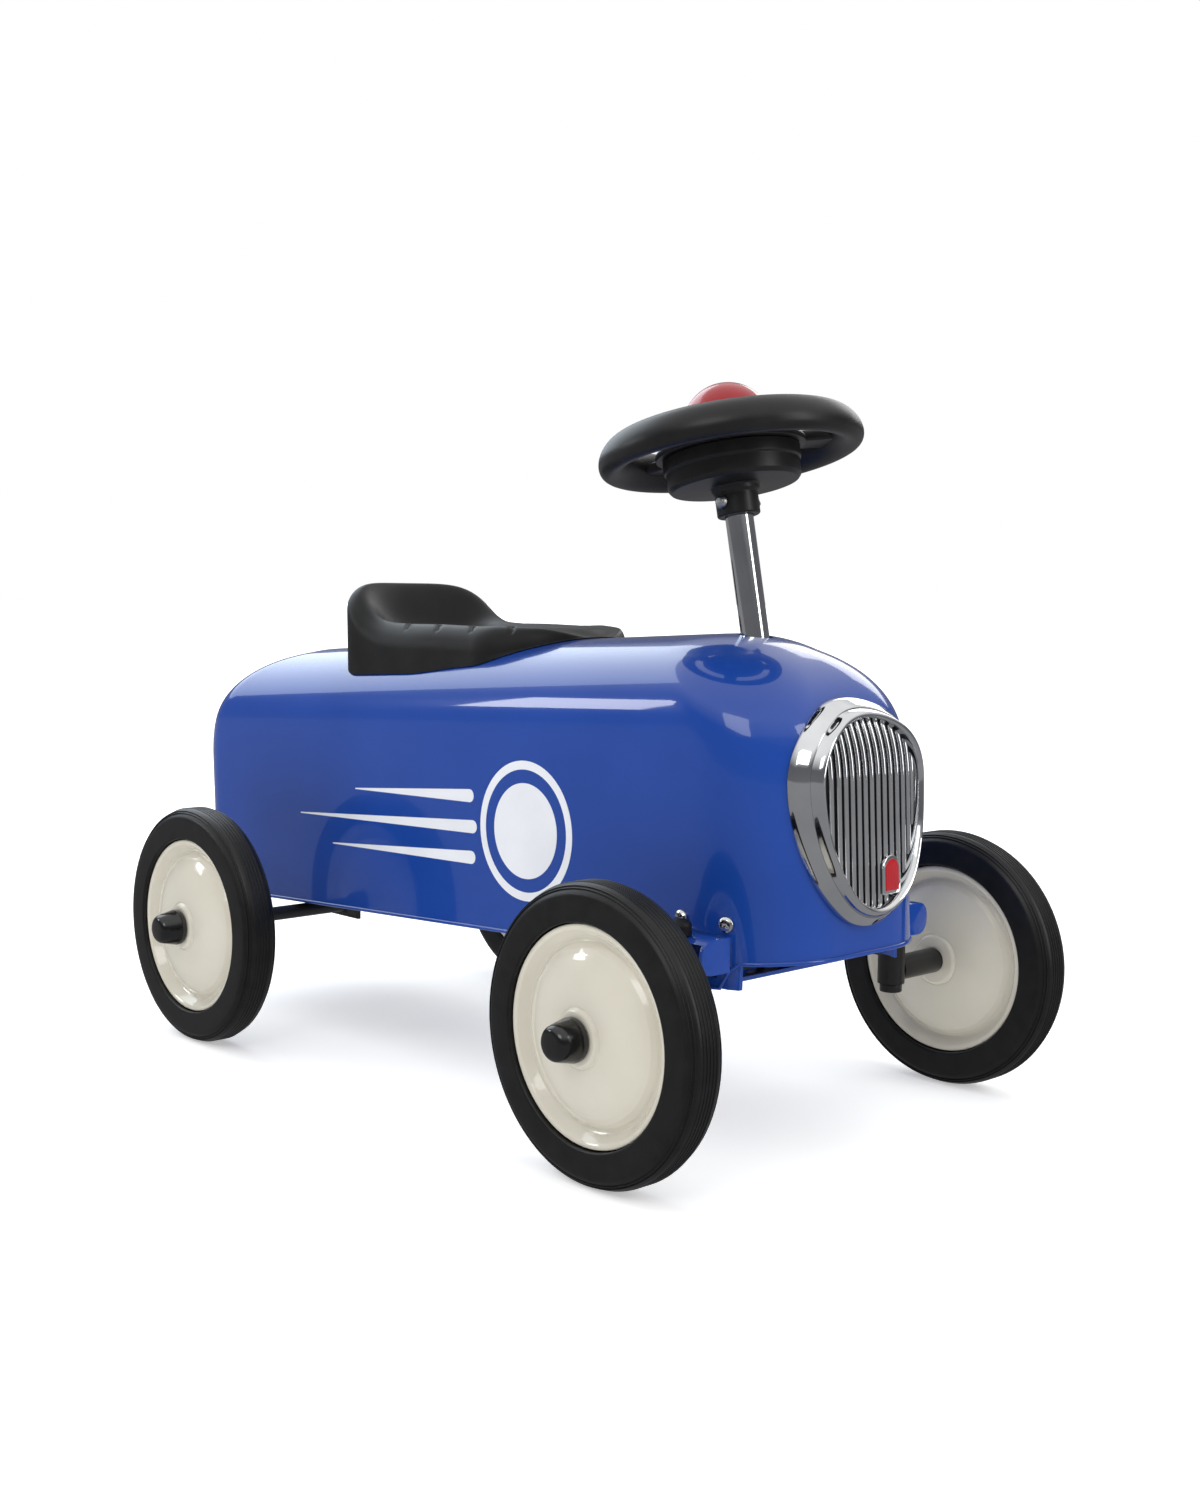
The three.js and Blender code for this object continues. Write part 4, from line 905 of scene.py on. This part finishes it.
tyre_outline = [(58.4, -7), (60.9, -7), (60.9, -TYRE_HALF + 0.6), (62, -TYRE_HALF),
                (72, -TYRE_HALF), (76.2, -TYRE_HALF + 0.2), (TREAD - 1.2, -8.6), (TREAD, -6.4)]
tyre_outline += [(radius, -along) for radius, along in reversed(tyre_outline)] + [(58.4, -7)]
rib_places = [(TREAD, along) for along in (-4.8, -2.4, 0, 2.4, 4.8)]
rib_places += [(79.0, 10.4), (79.0, -10.4), (80.3, 9.2), (80.3, -9.2)]


def dome(radius):
    return 16.2 * sqrt(1 - (radius / 52.9) ** 2)


disc_outline = [(7.6, BOSS_OUT - 3.4), (7.6, BOSS_OUT - 0.2), (8.2, BOSS_OUT), (14.2, BOSS_OUT),
                (15.2, BOSS_OUT - 0.4), (15.8, BOSS_OUT - 1.3), (16.3, dome(16.3) - 0.3),
                (17.2, dome(17.2))]
disc_outline += [(r, dome(r)) for r in range(20, 50, 3)]
disc_outline += [(49.4, 5.2), (50.4, 3.9), (51.6, 3.5), (52.8, 4.2), (55.6, 7.6), (56.8, 9.2), (57.8, 9.8),
                 (58.8, 9.9), (59.8, 9.7), (60.3, 9.0), (60.2, 7.6), (58.9, 7.0), (57.2, 6.9), (57.0, 6.2)]
disc_outline += [(57.0, 0.3), (55.4, 0.3), (55.2, 4.6), (53.2, 2.4), (51.6, 1.7), (49.6, 2.0)]
disc_outline += [(r, dome(r) - 2) for r in range(46, 15, -3)] + [(7.6, BOSS_OUT - 3.4)]

cap_outline = [(5.5, 0.8), (12.0, 0.8), (12.3, 1.6), (12.3, 3.8), (11.9, 5.2), (10.2, 13.0),
               (9.4, 15.6), (7.4, 17.4), (4, 17.9), (0, 18.0)]
bush_outline = tube(5.2, 7, -17.6, 17.6)
print("outlines", len(tyre_outline), len(disc_outline), len(cap_outline), "points")

# %% [markdown]
# The axis of each wheel points away from the car. The cap sits on the axle and doesn't turn.


# %% Four wheels
def flat_bottomed(made):
    """Keeps the round tread off the floor by a hair."""
    for vertex in made.data.vertices:
        vertex.co.z = max(vertex.co.z, 0.02 * MM)
    return made


for end in ENDS:
    for name, side in SIDES.items():
        tag = f"{end}_{name}"
        hub = middle(f"tyre_{tag}")
        spin_body = f"wheel_{tag}"
        tyre = turned(f"tyre_rubber_{tag}", tyre_outline, hub, (0, side, 0), RUBBER, TYRE_SIDES, 1.2, 30)
        place(flat_bottomed(tyre), spin_body, f"tyre_{tag}")
        axis, across, up = basis((0, side, 0))
        turns = [2 * pi * i / TYRE_SIDES for i in range(TYRE_SIDES)]
        paths = []
        for radius, along in rib_places:
            paths.append([hub + (axis * along + (across * cos(t) + up * sin(t)) * radius) * MM
                          for t in turns])
        ribs = strips(f"tread_ribs_{tag}", paths, RIB_RADIUS, RUBBER, closed=True, sides=8)
        place(flat_bottomed(ribs), spin_body)
        for where, facing in (("outer", side), ("inner", -side)):
            disc = turned(f"disc_{where}_{tag}", disc_outline, hub, (0, facing, 0), CREAM, 96, 0.25, 30)
            place(disc, spin_body, f"wheel_disc_{where}_{tag}")
        bush = turned(f"bush_{tag}", bush_outline, hub, (0, side, 0), MOULDED, 40)
        place(bush, spin_body, f"wheel_bush_{tag}")
        cap_at = hub + Vector((0, side * BOSS_OUT * MM, 0))
        cap = turned(f"cap_{tag}", cap_outline, cap_at, (0, side, 0), GLOSSY, 56, 1.2)
        cap_body = f"knuckle_{name}_body" if end == "front" else "root"
        place(cap, cap_body, f"hub_cap_{tag}")
print("wheels", 4)

# %% [markdown]
# ## Steering column and wheel
# The column is a chrome tube. The wheel has a thick grip, three flat spokes and a drum-shaped hub
# that clamps on the tube, and a red dome in its middle presses in as the horn. They are all turned
# about the column's axis.

# %% Column and bushes
tube_top = -30.6
tube_foot = (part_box("steering_column")[0].z - COLUMN_AT.z) / COLUMN_UP.z / MM + 1.8
tube_outline = tube(7, 8.5, tube_foot, tube_top)
place(turned("column_tube", tube_outline, *COLUMN, CHROME), "steering", "steering_column")


def along_column(node):
    """How far along the column a node's middle lies, in millimetres."""
    return (middle(node) - COLUMN_AT).dot(COLUMN_UP) / MM


mid = along_column("column_bush_upper")
low, high = mid - 4, mid + 4
roof_outline = [(8.7, low), (13.5, low), (13.5, mid), (10.1, mid), (10.1, high), (8.7, high), (8.7, low)]
place(turned("bush_roof", roof_outline, *COLUMN, MOULDED, 48), "root", "column_bush_upper")

# %% [markdown]
# The grip's section is a leaning ellipse. Three spokes and the plate under the horn join it.

# %% Grip, spokes and the plate under the horn
GRIP_RADIUS, GRIP_WIDE, GRIP_TALL, GRIP_DROP, GRIP_SHEAR = 70, 10, 10.4, 3, 4.2
SPOKE_THICK = 6.5
grip_outline = []
for i in range(41):
    t = 2 * pi * i / 40
    along = GRIP_TALL * sin(t) - GRIP_SHEAR * cos(t) - GRIP_DROP
    grip_outline.append((GRIP_RADIUS + GRIP_WIDE * cos(t), along))
grip = turned("wheel_grip", grip_outline, *COLUMN, GRIP, 128, angle=60)
bezel_outline = [(28.2, -8.2), (45.5, -8.2), (45.5, -4.7), (43.6, -2.6), (39.5, 0.4), (36, 7.2), (34, 9.2),
                 (30.4, 10.2), (28.2, 9.4), (28.2, -8.2)]
bezel = turned("wheel_bezel", bezel_outline, *COLUMN, GRIP, 96, 0.8)
forward = Vector((COLUMN_UP.z, 0, -COLUMN_UP.x))
leftward = COLUMN_UP.cross(forward)


def on_wheel(u, v, h):
    return COLUMN_AT + (forward * u + leftward * v + COLUMN_UP * h) * MM


def on_spoke(u, v, h):
    return on_wheel(u, v, h - SPOKE_THICK)


spokes = []
spoke_edge = [(38, -13), (46, -11.5), (54, -11), (60, -11.8), (67, -16)]
spoke_edge += [(u, -v) for u, v in reversed(spoke_edge)]
for i in range(3):
    t = pi + i * 2 * pi / 3
    shape = [(u * cos(t) - v * sin(t), u * sin(t) + v * cos(t)) for u, v in spoke_edge]
    spokes.append(plate(f"spoke_{i}", shape, SPOKE_THICK, on_spoke, GRIP, 1.6))
combine(grip, [bezel, *spokes], "UNION")
place(grip, "steering", "steering_wheel")

# %% [markdown]
# The drum's collar clamps on the column with one cross bolt and its nut.

# %% Hub drum with its clamp collar
hub_outline = [(0, -25.6), (38.5, -25.6), (38.5, -8.6), (41.5, -8.6), (41.5, -16.5), (40.3, -17.3),
               (40.3, -26.2), (38.4, -28.6), (15.5, -28.6), (14.6, -29.4), (14.2, -32), (13, -33.5),
               (13, -45.8), (12.2, -46.6), (8.65, -46.6), (8.65, -30.2), (0, -30.2)]
place(turned("hub_drum", hub_outline, *COLUMN, GRIP, 96, 0.8), "steering", "steering_hub")

NUT_RADIUS, NUT_AT, NUT_THICK = 4.2, 13.4, 3.2
bolt_at = on_wheel(0, 0, -28.6 - 9.9)
bolt_outline = [(0, -16.6), (2.6, -16.4), (3.9, -15.2), (4.2, -13.4), (2, -13.4), (2, 17.3), (0, 17.3)]
place(turned("clamp_bolt", bolt_outline, bolt_at, (0, 1, 0), STEEL, 32, 0.3), "steering", "hub_bolt")


def on_bolt(u, v, h):
    return bolt_at + Vector((u, NUT_AT + h, v)) * MM


corners = [radians(60 * i) for i in range(6)]
nut_points = [(NUT_RADIUS * cos(t), NUT_RADIUS * sin(t)) for t in corners]
place(plate("clamp_nut", nut_points, NUT_THICK, on_bolt, STEEL, 0.35), "steering", "hub_nut")

# %% [markdown]
# The horn is a red dome with a skirt and a flange, and a coil spring lies under the flange.

# %% Horn dome and its coil spring
HORN_RADIUS, HORN_TOP, HORN_SKIRT, HORN_WALL = 27, 34.4, 8, 2.5


def horn_dome(radius, top, steps):
    turns = [pi / 2 * i / steps for i in range(steps + 1)]
    return [(radius * sin(t), HORN_SKIRT + (top - HORN_SKIRT) * cos(t)) for t in turns]


horn_inner = HORN_RADIUS - HORN_WALL
horn_outline = horn_dome(HORN_RADIUS, HORN_TOP, 20)
horn_outline += [(27, -8.8), (31.5, -8.8), (31.5, -10.8), (horn_inner, -10.8), (horn_inner, HORN_SKIRT)]
horn_outline += horn_dome(horn_inner, HORN_TOP - HORN_WALL, 12)[-2::-1]
place(turned("horn_dome", horn_outline, *COLUMN, RED, 96), "horn", "horn_button")

SPRING_LOW, SPRING_HIGH, SPRING_RADIUS, WIRE_RADIUS = -24.3, -15.1, 28, 0.9
COILS, COIL_STEPS = 3, 36
coil_path = []
for i in range(COILS * COIL_STEPS + 1):
    t = 2 * pi * i / COIL_STEPS
    lift = SPRING_LOW + (SPRING_HIGH - SPRING_LOW) * i / (COILS * COIL_STEPS)
    coil_path.append(on_wheel(SPRING_RADIUS * cos(t), SPRING_RADIUS * sin(t), lift))
place(strips("horn_coil", [coil_path], WIRE_RADIUS, STEEL, sides=10), "steering", "horn_spring")
print("steering pieces done")

# %% [markdown]
# ## Screws
# Four pan-head screws with a cross recess hold the axle carrier. One head is modelled, and a tree
# sets a copy on each place, turned so that it faces out of the sheet.


# %% Screw tree
def screw_tree():
    asked = {"Screw": "Object", "Finish": "Material"}
    tree, sockets = new_tree("screws_on_points", "Places", asked, "Screws")
    add = tree.nodes.new
    given, result = add("NodeGroupInput"), add("NodeGroupOutput")
    source, copies = add("GeometryNodeObjectInfo"), add("GeometryNodeInstanceOnPoints")
    facing, turn_to = add("GeometryNodeInputNamedAttribute"), add("FunctionNodeAlignRotationToVector")
    real, paint = add("GeometryNodeRealizeInstances"), add("GeometryNodeSetMaterial")
    facing.data_type = "FLOAT_VECTOR"
    facing.inputs["Name"].default_value = "facing"
    wire(tree, (given, "Places", copies, "Points"), (given, "Screw", source, "Object"),
         (source, "Geometry", copies, "Instance"), (facing, "Attribute", turn_to, "Vector"),
         (turn_to, "Rotation", copies, "Rotation"), (copies, 0, real, 0),
         (real, 0, paint, "Geometry"), (given, "Finish", paint, "Material"), (paint, 0, result, 0))
    return tree, sockets


# %% One screw, then the four places
head_outline = [(0, -8), (2.5, -8), (2.5, 0), (4.6, 0), (4.6, 0.7), (4.3, 1.6), (3.2, 2.5),
                (1.6, 2.95), (0, 3.05)]
pan_head = turned("pan_head", head_outline, (0, 0, 0), UP, CHROME, 36, 0.25)
recess = [box_between(f"recess_{i}", (-a * MM, -b * MM, 1.3 * MM), (a * MM, b * MM, 4 * MM), CHROME)
          for i, (a, b) in enumerate([(2.5, 0.5), (0.5, 2.5)])]
combine(pan_head, recess, "DIFFERENCE")
screw_nodes = [f"side_screw_{name}_{end}" for name in SIDES for end in ("rear", "front")]
corner_start = SHELL_FRONT - FRONT_CORNER
points, facings = [], []
for node in screw_nodes:
    spot = middle(node)
    side = 1 if spot.y > 0 else -1
    x = (spot.x - CENTRE_X) / MM * cos(RAKE) + spot.z / MM * sin(RAKE)
    turn_by = asin(min(max((x - corner_start) / FRONT_CORNER, 0), 1))
    wall_y = SHELL_HALF - FRONT_CORNER * (1 - cos(turn_by))
    points.append((spot.x, side * (wall_y + 0.3) * MM, spot.z))
    facings += [sin(turn_by) * cos(RAKE), side * cos(turn_by), sin(turn_by) * sin(RAKE)]
spots = bpy.data.meshes.new("screw_places")
spots.from_pydata(points, [], [])
spots.attributes.new("facing", "FLOAT_VECTOR", "POINT").data.foreach_set("vector", facings)
screws = into_scene("side_screws", spots)
SCREWS, SCREW_INPUTS = screw_tree()
step = screws.modifiers.new("screws", "NODES")
step.node_group = SCREWS
step[SCREW_INPUTS["Screw"]] = pan_head
step[SCREW_INPUTS["Finish"]] = CHROME
settle(screws)
smooth(screws.data, 30)
bpy.data.objects.remove(pan_head)
place(screws, "root", *screw_nodes)
print("screws", len(screw_nodes))

# %% [markdown]
# ## Front axle
# Each front wheel turns on a knuckle: an upright barrel on the kingpin, a sleeve with the stub axle,
# and an arm back to the tie rod. They are turned and cut pieces joined into one forging.

# %% Knuckles, kingpins, nuts and spacers
SLEEVE_END = WHEEL_Y / MM - BOSS_OUT - 0.8
ARM_FOOT, ARM_THICK, ARM_LONG, ARM_HALF = 91.5, 4, 30, 7
arm_shape = arc(0, 0, ARM_HALF, -90, 90, 10) + arc(-ARM_LONG, 0, ARM_HALF, 90, 270, 10)


def upright(node):
    """A node's foot and top, in millimetres."""
    low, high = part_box(node)
    return low.z / MM, high.z / MM


for name, side in SIDES.items():
    body = f"knuckle_{name}_body"
    pin = Vector((FRONT_AXLE.x, side * KINGPIN_Y, 0))
    eye_at = pin - Vector((ARM_LONG * MM, 0, 0))
    stub_at = Vector((FRONT_AXLE.x, 0, FRONT_AXLE.z))
    foot, top = upright(f"knuckle_{name}")
    barrel = turned(f"knuckle_forging_{name}", tube(4.5, 8.5, foot, top), pin, UP, BLACK, 48)
    inner_y = KINGPIN_Y / MM + 5
    tip = max(abs(corner.y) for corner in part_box(f"knuckle_{name}")) / MM
    shape = [(0, inner_y), (8, inner_y), (8, SLEEVE_END), (5, SLEEVE_END), (5, tip), (0, tip)]
    sleeve = turned(f"sleeve_{name}", shape, stub_at, (0, side, 0), BLACK, 48, 0.5)
    arm = plate(f"arm_{name}", arm_shape, ARM_THICK,
                lambda u, v, h: pin + Vector((u, v, ARM_FOOT + h)) * MM, BLACK, 0.5)
    bore = turned(f"bore_{name}", rod(4.5, 60, 120), pin, UP, BLACK, 32)
    eye = turned(f"eye_{name}", rod(3.5, 60, 120), eye_at, UP, BLACK, 32)
    combine(barrel, [sleeve, arm], "UNION")
    combine(barrel, [bore, eye], "DIFFERENCE")
    place(barrel, body, f"knuckle_{name}")
    foot, top = upright(f"kingpin_{name}")
    shape = [(0, foot), (7, foot), (7, foot + 5), (4, foot + 5), (4, top), (0, top)]
    place(turned(f"kingpin_bar_{name}", shape, pin, UP, BLACK, 40, 0.6), "root", f"kingpin_{name}")
    foot, top = upright(f"kingpin_spacer_{name}")
    spacer = turned(f"spacer_{name}", tube(4.5, 7, foot, top), pin, UP, BLACK, 40)
    place(spacer, "root", f"kingpin_spacer_{name}")
    foot, top = upright(f"kingpin_nut_{name}")
    shape = [(4.5, foot), (6.5, foot), (6.5, foot + 5.5), (5.8, foot + 7.2), (4.2, top - 0.5),
             (2, top), (0, top), (0, top - 2.5), (4.5, top - 2.5), (4.5, foot)]
    place(turned(f"acorn_nut_{name}", shape, pin, UP, MOULDED, 40, 0.3), "root", f"kingpin_nut_{name}")
    foot, top = upright(f"tie_pin_{name}")
    shape = [(0, foot), (3, foot), (3, top - 2.1), (6.3, top - 2.1), (6, top - 0.9), (4.4, top), (0, top)]
    place(turned(f"tie_rivet_{name}", shape, eye_at, UP, STEEL, 36, 0.3), body, f"tie_pin_{name}")
print("front axle turned pieces done")

# %% Rear axle
axle_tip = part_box("rear_axle")[1].y / MM
axle_half = [(0, axle_tip), (5, axle_tip), (5, SLEEVE_END), (8, SLEEVE_END), (8, SLEEVE_END - 8),
             (5, SLEEVE_END - 8)]
axle_outline = axle_half + [(r, -y) for r, y in reversed(axle_half)]
rear_at = Vector((REAR_AXLE.x, 0, REAR_AXLE.z))
place(turned("rear_axle_bar", axle_outline, rear_at, (0, 1, 0), BLACK, 48), "root", "rear_axle")

# %% [markdown]
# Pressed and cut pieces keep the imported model's shape, with softened edges and a finish.

# %% Pressed and cut pieces that keep their CAD shape
KEPT = {
    "front_axle_carrier": (BLUE, 0.5), "front_axle_beam": (BLACK, 0.6), "tie_rod": (BLACK, 0.5),
    "kingpin_bracket_left": (BLUE, 0.8), "kingpin_bracket_right": (BLUE, 0.8),
    "rear_axle_hanger": (BLACK, 0.5), "pitman_arm": (BLACK, 0.4), "column_bush_lower": (MOULDED, 0.3),
    "seat_bolt_rear": (STEEL, 0.3), "seat_bolt_front": (STEEL, 0.3),
}
for node, (material, width) in KEPT.items():
    kept = frame["nodes"][node]
    weld = kept.modifiers.new("weld", "WELD")
    weld.merge_threshold = 0.01 * MM
    soften(kept, width, 2, 40)
    kept.data.materials.clear()
    kept.data.materials.append(material)
    smooth(kept.data)
print("kept nodes", len(KEPT))

# %% [markdown]
# ## Floor
# A pale floor catches a soft shadow. It isn't part of the object.

# %% Floor, which looks white but shows as mid grey in what the car reflects
GLOW = {"From Min": 0.7, "From Max": 3.5, "To Min": 0.42, "To Max": 0.9}
FLOOR = 60
floor_material = bpy.data.materials.new("pale_floor")
floor_material.use_nodes = True
ground = floor_material.node_tree
floor_shader = ground.nodes["Principled BSDF"]
set_inputs(floor_shader, {"Base Color": (0.88, 0.88, 0.88, 1), "Roughness": 0.9,
                          "Specular IOR Level": 0.1, "Emission Color": (1, 1, 1, 1)})
floor_place = add_node(ground, "ShaderNodeTexCoord")
distance = add_node(ground, "ShaderNodeVectorMath")
distance.operation = "LENGTH"
glow = add_node(ground, "ShaderNodeMapRange", GLOW)
grey = add_node(ground, "ShaderNodeEmission", {"Color": (0.3, 0.3, 0.31, 1)})
ray = add_node(ground, "ShaderNodeLightPath")
choose = add_node(ground, "ShaderNodeMixShader")
wire(ground, (floor_place, "Object", distance, 0), (distance, "Value", glow, "Value"),
     (glow, 0, floor_shader, "Emission Strength"), (ray, "Is Glossy Ray", choose, 0),
     (floor_shader, 0, choose, 1), (grey, 0, choose, 2),
     (choose, 0, ground.nodes["Material Output"], "Surface"))
floor_mesh = bpy.data.meshes.new("studio_floor")
floor_corners = [(-FLOOR, -FLOOR, 0), (FLOOR, -FLOOR, 0), (FLOOR, FLOOR, 0), (-FLOOR, FLOOR, 0)]
floor_mesh.from_pydata(floor_corners, [], [(0, 1, 2, 3)])
floor_mesh.materials.append(floor_material)
floor = into_scene("studio_floor", floor_mesh)
